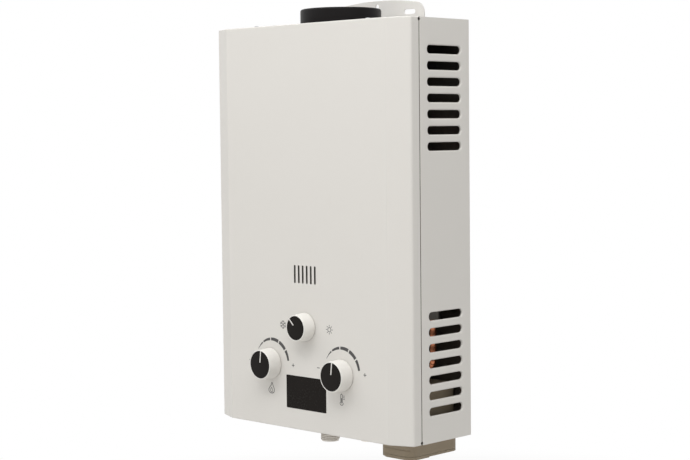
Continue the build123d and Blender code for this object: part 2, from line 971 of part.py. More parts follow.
def make_gas_solenoid():
    """The magnet that shuts the gas, on the valve's left end."""
    left = gas_valve_left - solenoid_length + solenoid_cap_length
    z = (gas_valve_low + gas_valve_high) / 2
    body = crosswise(link_y, z, left, gas_valve_left, solenoid_radius)
    return body + crosswise(link_y, z, left - solenoid_cap_length, left, solenoid_cap_radius)


def make_valve_bracket():
    """The strip that holds the gas valve off the back panel."""
    return wall_bracket(
        (gas_valve_left + gas_valve_right) / 2,
        gas_valve_low + bracket_foot,
        gas_valve_high - bracket_foot,
        gas_valve_back,
        case_depth - sheet,
        1,
    )


def make_water_valve():
    """The brass water valve: half of the membrane housing, the regulator block and the inlet."""
    left = membrane_left + membrane_thickness
    right = left + water_half_thickness
    body = crosswise(link_y, water_z, left, right, membrane_radius)
    body -= crosswise(link_y, water_z, left, left + membrane_cavity, membrane_cavity_radius)
    trunk = block(
        right - water_block_round,
        water_block_right,
        water_block_front,
        water_block_back,
        water_block_low,
        water_block_high,
    )
    body += fillet(trunk.edges().filter_by(Axis.X), water_block_round)
    front = water_block_front - valve_boss_length
    body += lengthwise(water_x, water_z, front, water_block_back / 2, valve_boss_radius)
    shaft = spindle_radius + spindle_fit
    body -= lengthwise(water_x, water_z, 0, water_block_front + spindle_seat, shaft)
    outlet = water_block_right + cold_outlet_boss
    root = water_block_right - water_block_round
    body += crosswise(first_pass_y, cold_outlet_z, root, outlet, tube_radius)
    body += nipple(cold_inlet_x, cold_inlet_y, cold_inlet_reach, water_block_low)
    return body


def make_membrane_cover():
    """The left half of the membrane housing, with a neck that guides the push rod."""
    left = membrane_left - membrane_cover_thickness
    body = crosswise(link_y, water_z, left, membrane_left, membrane_radius)
    floor = membrane_left - membrane_cavity
    body -= crosswise(link_y, water_z, floor, membrane_left, membrane_cavity_radius)
    body += crosswise(link_y, water_z, left - link_boss_length, left, link_boss_radius)
    return body - crosswise(link_y, water_z, left - case_depth, membrane_left, rod_radius + spindle_fit)


def make_membrane():
    return crosswise(link_y, water_z, membrane_left, membrane_left + membrane_thickness, membrane_radius)


def make_push_rod():
    """The rod that the membrane's plate pushes into the gas valve, with a collar for the switch lever."""
    plate_right = membrane_left - membrane_gap
    plate_left = plate_right - membrane_plate_thickness
    body = crosswise(link_y, water_z, rod_end, plate_right, rod_radius)
    body += crosswise(link_y, water_z, plate_left, plate_right, membrane_plate_radius)
    collar_right = rod_collar_left + rod_collar_width
    return body + crosswise(link_y, water_z, rod_collar_left, collar_right, rod_collar_radius)


def make_micro_switch():
    """The switch that starts the spark: a small box with two ears and the lever's pin."""
    front = link_y - switch_width / 2
    back = link_y + switch_width / 2
    body = block(switch_left, switch_right, front, back, switch_low, switch_high)
    ear_low = lever_pivot_z - 2 * lever_barrel_radius
    half = 2 * lever_barrel_radius
    for y in (front, back - switch_ear):
        body += block(lever_x - half, lever_x + half, y, y + switch_ear, ear_low, switch_low)
    return body + lengthwise(lever_x, lever_pivot_z, front, back, lever_pin_radius)


def make_switch_lever():
    """The lever that rides on the push rod's collar."""
    half = switch_width / 2 - switch_ear - switch_gap
    body = lengthwise(lever_x, lever_pivot_z, link_y - half, link_y + half, lever_barrel_radius)
    x0 = lever_x - lever_thickness / 2
    body += block(x0, x0 + lever_thickness, link_y - half, link_y + half, lever_tip_z, lever_pivot_z)
    return body - lengthwise(lever_x, lever_pivot_z, 0, case_depth, lever_pin_radius + lever_pin_fit)


def make_relief_plug():
    """The hexagonal drain plug under the water valve."""
    low = water_block_low - relief_height
    return upright_hexagon(relief_x, relief_y, low, water_block_low, relief_flats)


def make_hot_outlet():
    low = sheet + nipple_hex_height
    body = nipple(hot_outlet_x, hot_outlet_y, hot_outlet_reach, low + hot_outlet_socket)
    socket = upright(hot_outlet_x, hot_outlet_y, low, low + 2 * hot_outlet_socket, tube_radius + tube_fit)
    return body - socket


def knob_sizes(name):
    """Place, disc radius, base radius, height and pointer angle of one knob."""
    if name == "season":
        return season_x, season_z, season_disc_radius, season_base_radius, season_height, season_pointer
    x, z = (flame_x, flame_z) if name == "flame" else (water_x, water_z)
    return x, z, regulator_disc_radius, regulator_base_radius, regulator_height, regulator_pointer


def pointer_bar(name, grow, y0, y1):
    """The pointer's bar from near the middle of the disc to its rim, turned to its rest angle."""
    x, z, disc, base, height, angle = knob_sizes(name)
    half = pointer_width / 2 + grow
    bar = Pos(0, 0, (pointer_start - grow + disc) / 2) * Box(2 * half, y1 - y0, disc - pointer_start + grow)
    return Pos(*bench(x, (y0 + y1) / 2, z)) * Rot(0, angle, 0) * bar


def make_knob(name):
    """A tapered white knob with a round recess for its disc and a raised pointer."""
    x, z, disc, base, height, angle = knob_sizes(name)
    rim = disc + knob_rim
    profile = [
        (0, knob_gap),
        (base, knob_gap),
        (rim, height - knob_chamfer),
        (rim - knob_chamfer, height),
        (disc, height),
        (disc, height - disc_depth),
        (0, height - disc_depth),
    ]
    face = make_face(Polyline(*[(r, 0, h) for r, h in profile], close=True))
    body = Pos(*bench(x, 0, z)) * Rot(90, 0, 0) * revolve(face, Axis.Z)
    body += pointer_bar(name, 0, -height, -height + disc_depth)
    return body - spindle_end(x, z, knob_bore_fit)


def make_knob_disc(name):
    """The black disc let into the knob's face, slotted for the pointer."""
    x, z, disc, base, height, angle = knob_sizes(name)
    body = lengthwise(x, z, -height, -height + disc_depth, disc - disc_fit)
    return body - pointer_bar(name, disc_fit, -height - disc_depth, -height + 2 * disc_depth)


def spindle_end(x, z, grow):
    """The flatted end of a spindle, inside the knob."""
    body = lengthwise(x, z, -spindle_engage, cover_depth, spindle_radius + grow)
    flat = z + spindle_radius - spindle_flat + grow
    reach = 2 * spindle_radius
    return body - block(x - reach, x + reach, -2 * spindle_engage, 0, flat, flat + reach)


def make_spindle(name):
    x, z, disc, base, height, angle = knob_sizes(name)
    seat = {
        "season": manifold_front,
        "flame": gas_valve_front + spindle_seat,
        "water": water_block_front + spindle_seat,
    }[name]
    reach = block(x - spindle_seat, x + spindle_seat, -case_depth, seat, z - spindle_seat, z + spindle_seat)
    shank = lengthwise(x, z, 0, seat, spindle_radius)
    return (spindle_end(x, z, 0) + shank) & reach


def make_display_window():
    lens = window_pane(-window_proud, sheet, window_fit)
    flange_w = window_width / 2 + lens_flange
    flange_h = window_height / 2 + lens_flange
    back = sheet + lens_flange_thickness
    return lens + block(-flange_w, flange_w, sheet, back, window_z - flange_h, window_z + flange_h)


def make_display_frame():
    """The frame behind the window that carries the display board."""
    half_w = window_width / 2 + lens_flange
    half_h = window_height / 2 + lens_flange
    front = sheet + lens_flange_thickness
    back = front + display_frame_depth
    body = block(-half_w, half_w, front, back, window_z - half_h, window_z + half_h)
    inner_w = half_w - display_frame_wall
    inner_h = half_h - display_frame_wall
    return body - block(-inner_w, inner_w, front, back, window_z - inner_h, window_z + inner_h)


def make_display_board():
    """The circuit board on the frame, with the number display facing the window."""
    half_w = window_width / 2 + lens_flange
    half_h = window_height / 2 + lens_flange
    front = sheet + lens_flange_thickness + display_frame_depth
    body = block(-half_w, half_w, front, front + board_thickness, window_z - half_h, window_z + half_h)
    module_w = window_width / 3
    module_h = window_height / 3
    face = front - display_module
    return body + block(-module_w, module_w, face, front, window_z - module_h, window_z + module_h)


def make_igniter_box():
    """The spark controller on the back panel, left of the valve."""
    left = -half_width + sheet + igniter_left_gap
    back = case_depth - sheet
    top = igniter_z + igniter_height
    body = block(left, left + igniter_width, back - igniter_depth, back, igniter_z, top)
    return fillet(body.edges().filter_by(Axis.Y), igniter_round)


def make_electrode(x):
    """A ceramic rod with its wire tip over the burner."""
    body = lengthwise(x, electrode_z, electrode_front, electrode_back, electrode_radius)
    return body + lengthwise(x, electrode_z, electrode_back, electrode_tip, electrode_wire)


def make_electrode_bracket():
    """The plate on the burner's front rail that holds both ceramic rods."""
    back = blade_front - burner_rail_thickness
    x0 = electrode_x - manifold_lug
    x1 = sensor_x + manifold_lug
    body = block(x0, x1, back - electrode_plate, back, burner_rail_z, electrode_z + 2 * electrode_radius)
    for x in (electrode_x, sensor_x):
        body -= lengthwise(x, electrode_z, 0, case_depth, electrode_radius + spindle_fit)
    return body


def make_overheat_stat():
    """The disc thermostat clipped on the tube that leaves the exchanger."""
    half = stat_radius
    clip_outer = tube_radius + tube_fit + stat_clip
    x, y, z = hot_outlet_x, last_pass_y, overheat_stat_z
    clip = upright(x, y, z - half, z + half, clip_outer)
    clip -= upright(x, y, z - 2 * half, z + 2 * half, tube_radius + tube_fit)
    body = lengthwise(x, z, y - clip_outer - stat_height, y - tube_radius - stat_clip, stat_radius)
    return clip + body


def make_flue_stat():
    """The disc thermostat that watches for flue gas coming back, on the chamber's front near its top."""
    z = chamber_top - stat_radius - stat_clip
    return lengthwise(flue_stat_x, z, chamber_front - stat_height, chamber_front, stat_radius)


def box_catch_wedge(side):
    """A snap catch on the box's side that rests on the bottom panel."""
    root = side * (box_width / 2 - box_wall)
    tip = side * (box_width / 2 + box_catch)
    corners = [(root, 0), (tip, 0), (root, box_catch_height)]
    face = Rot(90, 0, 0) * make_face(Polyline(*corners, close=True))
    return Pos(*bench(box_x, box_y, sheet)) * extrude(face, box_catch_width / 2, both=True)


def knuckle_span():
    """Where the box's knuckle starts and ends, between the lid's two."""
    half = hinge_spread / 2 - lid_gap / 2
    return box_x - half, box_x + half


def lid_knuckle_spans():
    """Where the lid's two knuckles start and end, one on each side of the box's."""
    gap = hinge_spread / 2 + lid_gap / 2
    return [(box_x - gap - hinge_knuckle, box_x - gap), (box_x + gap, box_x + gap + hinge_knuckle)]


def make_battery_box():
    """A moulded box for two standing cells, pushed up through the bottom panel until its skirt stops it."""
    body = extrude(box_outline(0), box_top + box_drop) + extrude(box_outline(box_skirt), box_drop)
    body -= extrude(box_outline(-box_wall), box_top + box_drop - box_wall)
    body = Pos(*bench(box_x, box_y, -box_drop)) * body
    for side in (-1, 1):
        body += box_catch_wedge(side)
    for x0, x1 in lid_knuckle_spans():
        body -= crosswise(hinge_y, hinge_z, x0 - lid_gap, x1 + lid_gap, hinge_radius + lid_gap)
    x0, x1 = knuckle_span()
    body += block(x0, x1, hinge_y - hinge_radius, skirt_back, hinge_z, -box_drop)
    body += crosswise(hinge_y, hinge_z, x0, x1, hinge_radius)
    return body - crosswise(hinge_y, hinge_z, x0, x1, hinge_pin_radius)


def make_hinge_pin():
    half = hinge_spread / 2 + hinge_knuckle
    return crosswise(hinge_y, hinge_z, box_x - half, box_x + half, hinge_pin_radius)


def make_battery_lid():
    """The lid under the box: a plate with a grooved grip at the front, two snap tongues and two knuckles."""
    plate = Pos(*bench(box_x, box_y, lid_low)) * extrude(box_outline(box_skirt), lid_thickness)
    plate = plate & block(-case_width, case_width, 0, hinge_y, -case_depth, 0)
    grip = Pos(*bench(box_x, box_y, lid_low - lid_grip)) * extrude(box_outline(-lid_gap), lid_grip)
    grip = grip & block(-case_width, case_width, 0, box_front + lid_grip_length, -case_depth, 0)
    for i in range(1, grip_groove_count + 1):
        y = box_front + lid_grip_length * i / (grip_groove_count + 1)
        low = lid_low - lid_grip
        half = box_width / 3
        grip -= block(box_x - half, box_x + half, y - grip_groove, y + grip_groove, low, low + lid_grip / 2)
    body = plate + grip
    y0 = box_front + box_wall + lid_tongue_gap
    low = lid_low + lid_thickness / 2
    high = lid_low + lid_thickness + lid_tongue_height
    for x in (box_x - lid_tongue_x, box_x + lid_tongue_x):
        half = lid_tongue_width / 2
        body += block(x - half, x + half, y0, y0 + lid_tongue_thickness, low, high)
    x0, x1 = knuckle_span()
    room = hinge_radius + lid_gap
    body -= block(x0 - lid_gap, x1 + lid_gap, hinge_y - room, hinge_y, lid_low, lid_low + lid_thickness)
    for x0, x1 in lid_knuckle_spans():
        body += crosswise(hinge_y, hinge_z, x0, x1, hinge_radius)
    return body - crosswise(hinge_y, hinge_z, -case_width, case_width, hinge_pin_radius + hinge_fit)


def cell_places():
    """The depth of each cell's axis."""
    return [box_y - cell_spacing / 2, box_y + cell_spacing / 2]


def make_battery_cells():
    low = lid_low + lid_thickness + contact_thickness + contact_gap
    cells = []
    for y in cell_places():
        high = low + cell_length
        cell = upright(box_x, y, low, high, cell_radius)
        cells.append(cell + upright(box_x, y, high, high + cell_nub, cell_nub_radius))
    return Compound(children=cells)


def make_battery_contacts():
    """Two leaf contacts under the box's ceiling, bent down on to the cells."""
    top = box_top - box_wall
    low = lid_low + lid_thickness + contact_thickness + contact_gap + cell_length + cell_nub + contact_gap
    leaves = []
    for y in cell_places():
        half = contact_width / 2
        reach = cell_radius / 2
        root = block(box_x - half, box_x + half, y - reach, y + reach, top - contact_thickness, top)
        web = block(box_x - half, box_x + half, y - reach, y - reach + contact_thickness, low, top)
        foot = block(box_x - half, box_x + half, y - reach, y + reach, low, low + contact_thickness)
        leaves.append(root + web + foot)
    return Compound(children=leaves)


def make_lid_contact():
    """The strip on the lid that joins the two cells."""
    half = contact_width / 2
    low = lid_low + lid_thickness
    reach = cell_spacing / 2 + contact_width
    return block(box_x - half, box_x + half, box_y - reach, box_y + reach, low, low + contact_thickness)


makers = {
    "front_cover": make_front_cover,
    "rear_casing": make_rear_casing,
    "top_panel": make_top_panel,
    "bottom_panel": make_bottom_panel,
    "cover_screws": make_cover_screws,
    "hanging_bracket": make_hanging_bracket,
    "foot_bracket": make_foot_bracket,
    "flue_collar": make_flue_collar,
    "flue_hood": make_flue_hood,
    "chamber_shell": make_chamber_shell,
    "chamber_brackets": make_chamber_brackets,
    "fin_pack": make_fin_pack,
    "exchanger_tube": make_exchanger_tube,
    "cold_pipe": make_cold_pipe,
    "hot_pipe": make_hot_pipe,
    "pipe_nuts": make_pipe_nuts,
    "burner_blades": make_burner_blades,
    "burner_frame": make_burner_frame,
    "gas_manifold": make_gas_manifold,
    "nozzles": make_nozzles,
    "season_valve": make_season_valve,
    "gas_valve": make_gas_valve,
    "flange_gasket": make_flange_gasket,
    "gas_solenoid": make_gas_solenoid,
    "valve_bracket": make_valve_bracket,
    "water_valve": make_water_valve,
    "membrane_cover": make_membrane_cover,
    "membrane": make_membrane,
    "push_rod": make_push_rod,
    "micro_switch": make_micro_switch,
    "switch_lever": make_switch_lever,
    "relief_plug": make_relief_plug,
    "hot_outlet": make_hot_outlet,
    "display_window": make_display_window,
    "display_frame": make_display_frame,
    "display_board": make_display_board,
    "igniter_box": make_igniter_box,
    "electrode_bracket": make_electrode_bracket,
    "overheat_stat": make_overheat_stat,
    "flue_stat": make_flue_stat,
    "battery_box": make_battery_box,
    "hinge_pin": make_hinge_pin,
    "battery_lid": make_battery_lid,
    "battery_cells": make_battery_cells,
    "battery_contacts": make_battery_contacts,
    "lid_contact": make_lid_contact,
}

nodes = {name: make() for name, make in makers.items()}
nodes["spark_electrode"] = make_electrode(electrode_x)
nodes["flame_sensor"] = make_electrode(sensor_x)
for control in ("season", "flame", "water"):
    nodes[control + "_knob"] = make_knob(control)
    nodes[control + "_disc"] = make_knob_disc(control)
    nodes[control + "_spindle"] = make_spindle(control)

os.makedirs("parts", exist_ok=True)
for name, solid in nodes.items():
    export_step(solid, os.path.join("parts", name + ".step"))
print(len(nodes), "pieces written")
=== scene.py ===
# %% [markdown]
# # A wall-hung gas water heater, step by step
# The heater is a bent sheet-metal case with the works of a small boiler inside. Its exact solids come
# from the CAD frame, and this lesson gives them their finishes and the details that a solid modeller
# leaves plain. Everything is in metres, in the frame of the wall bracket: X to the right, Y into the
# wall, Z up. The frame is loaded first, because every piece is placed by it.

# %% Load the frame
import json
import math

import bmesh
import bpy
from mathutils import Matrix, Vector


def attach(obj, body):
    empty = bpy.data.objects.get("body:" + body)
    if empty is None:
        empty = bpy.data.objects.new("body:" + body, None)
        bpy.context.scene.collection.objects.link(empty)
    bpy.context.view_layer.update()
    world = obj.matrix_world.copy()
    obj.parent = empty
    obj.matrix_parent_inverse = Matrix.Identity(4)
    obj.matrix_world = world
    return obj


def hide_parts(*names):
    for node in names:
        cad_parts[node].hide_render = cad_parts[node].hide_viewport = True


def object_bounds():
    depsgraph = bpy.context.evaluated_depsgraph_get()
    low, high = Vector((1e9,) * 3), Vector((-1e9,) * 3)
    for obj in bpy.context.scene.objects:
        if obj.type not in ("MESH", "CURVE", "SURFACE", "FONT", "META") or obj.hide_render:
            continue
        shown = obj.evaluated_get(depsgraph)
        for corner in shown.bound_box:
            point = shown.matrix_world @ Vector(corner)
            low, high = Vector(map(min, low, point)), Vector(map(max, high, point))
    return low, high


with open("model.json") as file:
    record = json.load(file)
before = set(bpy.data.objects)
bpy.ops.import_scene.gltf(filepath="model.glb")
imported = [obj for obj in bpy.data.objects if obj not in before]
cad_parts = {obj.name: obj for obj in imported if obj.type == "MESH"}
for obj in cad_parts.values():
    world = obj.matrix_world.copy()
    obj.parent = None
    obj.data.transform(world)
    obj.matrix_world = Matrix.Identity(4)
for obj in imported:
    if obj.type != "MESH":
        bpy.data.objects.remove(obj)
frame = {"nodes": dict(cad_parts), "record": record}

cad_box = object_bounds()
nodes = frame["nodes"]
scene = bpy.context.scene

# %% [markdown]
# The drawing of the heater counts millimetres from the middle of the case, back from its flat front and
# up from its bottom. Two functions turn such a place into the frame and back, so that every number below
# can be read off the real heater with a ruler.

# %% Places on the heater
FRONT, BASE = -0.118, -0.4487
HALF_WIDTH, CASE_HEIGHT, CASE_DEPTH = 145.0, 434.0, 102.0


def spot(x, y, z):
    """A place on the heater, in millimetres, as a point of the frame."""
    return Vector((x / 1000, FRONT + y / 1000, BASE + z / 1000))


def ruler(point):
    """A point of the frame as millimetres on the heater."""
    return Vector((point[0] * 1000, (point[1] - FRONT) * 1000, (point[2] - BASE) * 1000))


print("front plane at", FRONT, "case bottom at", BASE)

# %% [markdown]
# The camera stands to the right of the heater and a little above its middle, as far away as the vanishing
# lines of the case say. A camera can be aimed with a Track To constraint, but this one is rolled by half
# a degree, so its three axes are written out as a matrix.

# %% Camera
EYE, FOCAL_LENGTH = (1.22162, -1.30718, -0.12622), 83.87
YAW, PITCH, ROLL = math.radians(44.314), math.radians(3.600), math.radians(-0.6042)
forward = Vector((-math.sin(YAW) * math.cos(PITCH), math.cos(YAW) * math.cos(PITCH), -math.sin(PITCH)))
right = Vector((math.cos(YAW), math.sin(YAW), 0))
up = right.cross(forward)
right, up = (
    right * math.cos(ROLL) + up * math.sin(ROLL),
    up * math.cos(ROLL) - right * math.sin(ROLL),
)


def placed(name, data):
    """A new object in the scene."""
    thing = bpy.data.objects.new(name, data)
    scene.collection.objects.link(thing)
    return thing


camera = placed("camera", bpy.data.cameras.new("camera"))
camera.data.sensor_width = 36
camera.data.lens = FOCAL_LENGTH
axes = Matrix((right, up, -forward)).transposed().to_4x4()
camera.matrix_world = Matrix.Translation(EYE) @ axes
scene.camera = camera
scene.view_settings.view_transform = "Standard"
print("camera at", EYE)

# %% [markdown]
# Node trees are easier to read as sums than as wires. `Tap` wraps one output socket and answers to the
# usual operators by adding Math nodes. `Board` is a tree being wired, for shaders and for geometry alike:
# its `add` takes a node's type, then what goes into its sockets, then its settings, which are set first.

# %% Wiring helpers
def operator(operation):
    """The plain and the reflected method of one of Python's operators, as a Math node."""
    def result(tap, first, second):
        return tap.board.add("ShaderNodeMath", {0: first, 1: second}, {"operation": operation})

    return lambda tap, other: result(tap, tap, other), lambda tap, other: result(tap, other, tap)


class Tap:
    """An output socket that can be used in sums."""

    __add__, __radd__ = operator("ADD")
    __sub__, __rsub__ = operator("SUBTRACT")
    __mul__, __rmul__ = operator("MULTIPLY")
    __truediv__, __rtruediv__ = operator("DIVIDE")
    __pow__, __rpow__ = operator("POWER")

    def __init__(self, board, socket):
        self.board = board
        self.socket = socket


class Board:
    """A node tree while it is being wired."""

    def __init__(self, tree):
        self.tree = tree

    def feed(self, socket, value):
        """Links a tap to a socket, or gives the socket a value."""
        if isinstance(value, Tap):
            self.tree.links.new(value.socket, socket)
        else:
            socket.default_value = value

    def add(self, kind, inputs=None, settings=None, output=0):
        node = self.tree.nodes.new(kind)
        for name, value in (settings or {}).items():
            setattr(node, name, value)
        for key, value in (inputs or {}).items():
            for item in value if isinstance(value, list) else [value]:
                self.feed(node.inputs[key], item)
        return Tap(self, node.outputs[output])


print("wiring helpers ready")

# %% [markdown]
# Every finish here starts from the same three things: a place on the surface, grain at two sizes and a
# Principled shader. Colours are written as the eye sees them, from 0 to 255, and turned into the linear
# values that the renderer adds up.

# %% Starting a finish
def linear(red, green, blue):
    """A colour as seen on a screen, turned into linear light."""
    shares = [value / 255 for value in (red, green, blue)]
    return tuple(v / 12.92 if v <= 0.04 else ((v + 0.055) / 1.055) ** 2.4 for v in shares) + (1,)


class Finish(Board):
    """A material with a Principled shader, its object coordinates and some grain."""

    def __init__(self, name):
        self.material = bpy.data.materials.new(name)
        self.material.use_nodes = True
        super().__init__(self.material.node_tree)
        self.shader = self.tree.nodes["Principled BSDF"]
        self.place = self.add("ShaderNodeTexCoord", output="Object")

    def grain(self, scale, detail=2.0, stretch=None):
        """Noise from 0 to 1, with features about 1/scale metres wide, stretched if wanted."""
        place = self.place
        if stretch:
            place = self.add("ShaderNodeMapping", {"Vector": place, "Scale": stretch})
        return self.add("ShaderNodeTexNoise", {"Vector": place, "Scale": scale, "Detail": detail})

    def mix(self, factor, first, second):
        """A tone between two colours. Their sockets are counted, because the names repeat."""
        sockets = {0: factor, 6: linear(*first), 7: linear(*second)}
        return self.add("ShaderNodeMix", sockets, {"data_type": "RGBA"}, 2)

    def relief(self, height, depth, strength=1.0):
        """A bump of some depth in metres, for the shader's normal."""
        return self.add("ShaderNodeBump", {"Height": height, "Distance": depth, "Strength": strength})

    def set(self, **values):
        """Values or taps for the shader's sockets, with _ for a space."""
        for name, value in values.items():
            self.feed(self.shader.inputs[name.replace("_", " ")], value)
        return self.material


print("finish starter ready")

# %% [markdown]
# The case is powder-coated: plastic dust, sprayed on dry and baked until it flows. It never flows quite
# flat, so the coat keeps the fine dimples that are called orange peel. A bump at about a millimetre gives
# the dimples, a finer one the satin, and a slow cloud keeps large plates from looking computed.

# %% Powder coat
def powder_coat(name, colour, shade):
    finish = Finish(name)
    peel = finish.grain(620.0, 1.0)
    satin = finish.grain(2600.0, 2.0)
    cloud = finish.grain(7.0, 3.0)
    tone = finish.mix(cloud * 0.7 + peel * 0.3, colour, shade)
    rough = 0.36 + satin * 0.1 + cloud * 0.06
    normal = finish.relief(peel * 0.7 + satin * 0.3, 0.00006, 0.35)
    return finish.set(Base_Color=tone, Roughness=rough, Normal=normal, Specular_IOR_Level=0.4)


coats = {
    "white_paint": powder_coat("white_paint_coat", (220, 217, 212), (216, 213, 207)),
    "bracket_paint": powder_coat("bracket_paint_coat", (224, 222, 218), (219, 216, 211)),
}
print("powder coats:", sorted(coats))

# %% [markdown]
# The collar is sprayed with heat-proof black, thinner and drier than the case's coat, so it is smoother
# but cloudier. Black paint still mirrors the white room a little, so its specular level is set low.

# %% Heat-proof black
def heat_black(name):
    finish = Finish(name)
    cloud = finish.grain(40.0, 4.0)
    dust = finish.grain(1500.0, 3.0)
    tone = finish.mix(cloud, (17, 15, 16), (25, 23, 23))
    normal = finish.relief(dust * 0.6 + cloud * 0.4, 0.00005, 0.4)
    rough = 0.3 + cloud * 0.16 + dust * 0.06
    return finish.set(Base_Color=tone, Roughness=rough, Normal=normal, Specular_IOR_Level=0.1)


coats["black_enamel"] = heat_black("black_enamel_coat")
print("heat-proof black ready")

# %% [markdown]
# Moulded plastic takes its surface from the steel mould: polished for the knobs and the display, spark
# eroded for the battery box. One recipe with a roughness, a gloss and a grain covers them all.

# %% Moulded plastics
def moulding(name, colour, shade, roughness, gloss, grain_scale, grain_depth):
    finish = Finish(name)
    flow = finish.grain(26.0, 3.0)
    spark = finish.grain(grain_scale, 2.0)
    tone = finish.mix(flow * 0.6 + spark * 0.4, colour, shade)
    normal = finish.relief(spark, grain_depth, 0.5)
    rough = roughness + spark * 0.08 + flow * 0.06
    return finish.set(Base_Color=tone, Roughness=rough, Normal=normal, Specular_IOR_Level=gloss)


plastics = {
    "knob_white": ((228, 226, 221), (222, 219, 213), 0.26, 0.45, 900.0, 0.00002),
    "disc_black": ((25, 22, 20), (31, 28, 26), 0.42, 0.08, 2200.0, 0.00003),
    "display_black": ((24, 20, 17), (29, 25, 22), 0.2, 0.08, 500.0, 0.00001),
    "black_plastic": ((30, 29, 29), (40, 39, 38), 0.5, 0.3, 1800.0, 0.00005),
    "battery_plastic": ((154, 141, 120), (145, 131, 111), 0.46, 0.35, 1600.0, 0.00006),
    "ceramic": ((232, 228, 219), (222, 216, 204), 0.16, 0.5, 700.0, 0.00002),
    "rubber": ((30, 30, 30), (42, 41, 40), 0.68, 0.3, 1400.0, 0.00006),
    "cell_jacket": ((70, 74, 82), (58, 61, 68), 0.3, 0.5, 900.0, 0.00003),
}
for slot, recipe in plastics.items():
    coats[slot] = moulding(slot + "_moulding", *recipe)
print("mouldings:", len(plastics))

# %% [markdown]
# Bare metals differ by how they were worked. Drawn tube and rolled sheet carry long fine lines, castings
# carry the skin of the mould, and copper near a flame turns brown in patches. Metallic stays at one and
# the story is told by colour and roughness.

# %% Bare metals
def worked_metal(name, colour, shade, roughness, spread, stretch, grain_scale, depth):
    finish = Finish(name)
    lines = finish.grain(grain_scale, 3.0, stretch)
    patch = finish.grain(34.0, 4.0)
    tone = finish.mix(patch * 0.75 + lines * 0.25, colour, shade)
    rough = roughness + lines * spread + patch * spread
    normal = finish.relief(lines, depth, 0.5)
    return finish.set(Base_Color=tone, Metallic=1.0, Roughness=rough, Normal=normal)


metals = {
    # plated_steel is kept dark grey as painted shade, for the nuts and shells that show only in the gloom
    # behind the side slots.
    "plated_steel": ((112, 108, 103), (84, 80, 75), 0.34, 0.14, (1, 1, 0.06), 900.0, 0.00003),
    "zinc": ((196, 197, 196), (168, 170, 171), 0.24, 0.12, (1, 0.2, 1), 900.0, 0.00003),
    "copper": ((236, 160, 122), (196, 118, 84), 0.14, 0.1, (1, 1, 0.08), 1200.0, 0.00003),
    "brass": ((214, 182, 112), (188, 152, 88), 0.22, 0.1, (1, 1, 6), 900.0, 0.00003),
    "nickel": ((232, 223, 211), (214, 204, 191), 0.3, 0.1, (1, 1, 4), 900.0, 0.00003),
    "cast_aluminium": ((222, 217, 210), (198, 193, 186), 0.42, 0.12, (1, 1, 1), 700.0, 0.00012),
    # bare_sheet: dull bare steel, kept dark grey as painted shade for the gloom inside the case and in its
    # seam.
    "bare_sheet": ((128, 122, 114), (104, 99, 92), 0.5, 0.12, (1, 1, 1), 160.0, 0.00002),
}
for slot, recipe in metals.items():
    coats[slot] = worked_metal(slot + "_metal", *recipe)
print("metals:", len(metals))

# %% [markdown]
# A circuit board is glass cloth under green lacquer, with copper tracks that show as lighter lines. A
# brick pattern with thick joints is close enough to tracks for a board that sits behind a black window.

# %% Circuit board
def circuit_board(name):
    finish = Finish(name)
    turned = finish.add("ShaderNodeMapping", {"Vector": finish.place, "Rotation": (math.pi / 2, 0, 0)})
    sizes = {"Vector": turned, "Scale": 160.0, "Mortar Size": 0.12}
    tracks = finish.add("ShaderNodeTexBrick", sizes, {"offset": 0.37}, "Fac")
    weave = finish.grain(2400.0, 1.0)
    tone = finish.mix(tracks, (24, 66, 40), (46, 104, 64))
    normal = finish.relief(tracks, 0.00003, 0.6)
    return finish.set(Base_Color=tone, Roughness=0.3 + weave * 0.12, Normal=normal)


coats["board_green"] = circuit_board("board_green_lacquer")
print("board lacquer ready")

# %% [markdown]
# The marks on the front are screen printed: dark grey ink, laid on through a mesh. It is a little matt
# and its density wavers with the mesh, which a fine noise shows when one looks closely.

# %% Printing ink
def printing_ink(name):
    finish = Finish(name)
    mesh_marks = finish.grain(3200.0, 2.0)
    density = finish.grain(240.0, 2.0)
    tone = finish.mix(mesh_marks * 0.5 + density * 0.5, (74, 73, 73), (88, 87, 86))
    return finish.set(Base_Color=tone, Roughness=0.5 + mesh_marks * 0.12, Specular_IOR_Level=0.25)


ink = printing_ink("front_printing_ink")
print("ink ready")

# %% [markdown]
# The frame's record says which finish each CAD node has, so one loop paints them all. Pieces that replace
# a node further down take the same finishes by name.

# %% Paint the frame
finish_of = {part["node"]: part["material_slot"] for part in frame["record"]["subparts"]}
for name, node in nodes.items():
    node.data.materials.clear()
    node.data.materials.append(coats[finish_of[name]])
print("painted", len(nodes), "nodes with", len(coats), "finishes")

# %% [markdown]
# A finished piece sits at the origin with its place in its mesh, rides on a body and names its finish.
# `keep` does those last steps for every piece. Modifiers work on a mesh while an object holds it, and
# `baked` takes the plain result off again. `settled` turns a bmesh into a mesh, and `closed_mesh` first
# merges its doubles and turns its faces outwards, then shades it by angle.

# %% Finishing a piece
def keep(name, mesh, body, slot, *stands_for):
    """Puts a mesh in the scene as a piece of the heater."""
    piece = placed(name, mesh)
    mesh.name = name
    if not mesh.materials:
        mesh.materials.append(coats[slot])
    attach(piece, body)
    if stands_for:
        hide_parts(*stands_for)
    print(name, "rides on", body, "with", len(mesh.polygons), "faces")


def taken_off(holder):
    """The plain mesh that a holder's modifiers make. The holder and its own mesh go."""
    mesh = bpy.data.meshes.new_from_object(holder.evaluated_get(bpy.context.evaluated_depsgraph_get()))
    own = holder.data
    holder.modifiers.clear()
    bpy.data.objects.remove(holder)
    bpy.data.meshes.remove(own)
    return mesh


def baked(mesh, *modifiers):
    """A mesh after a list of (type, settings) modifiers."""
    holder = placed("holder", mesh)
    for kind, settings in modifiers:
        modifier = holder.modifiers.new(kind, kind)
        for key, value in settings.items():
            setattr(modifier, key, value)
    return taken_off(holder)


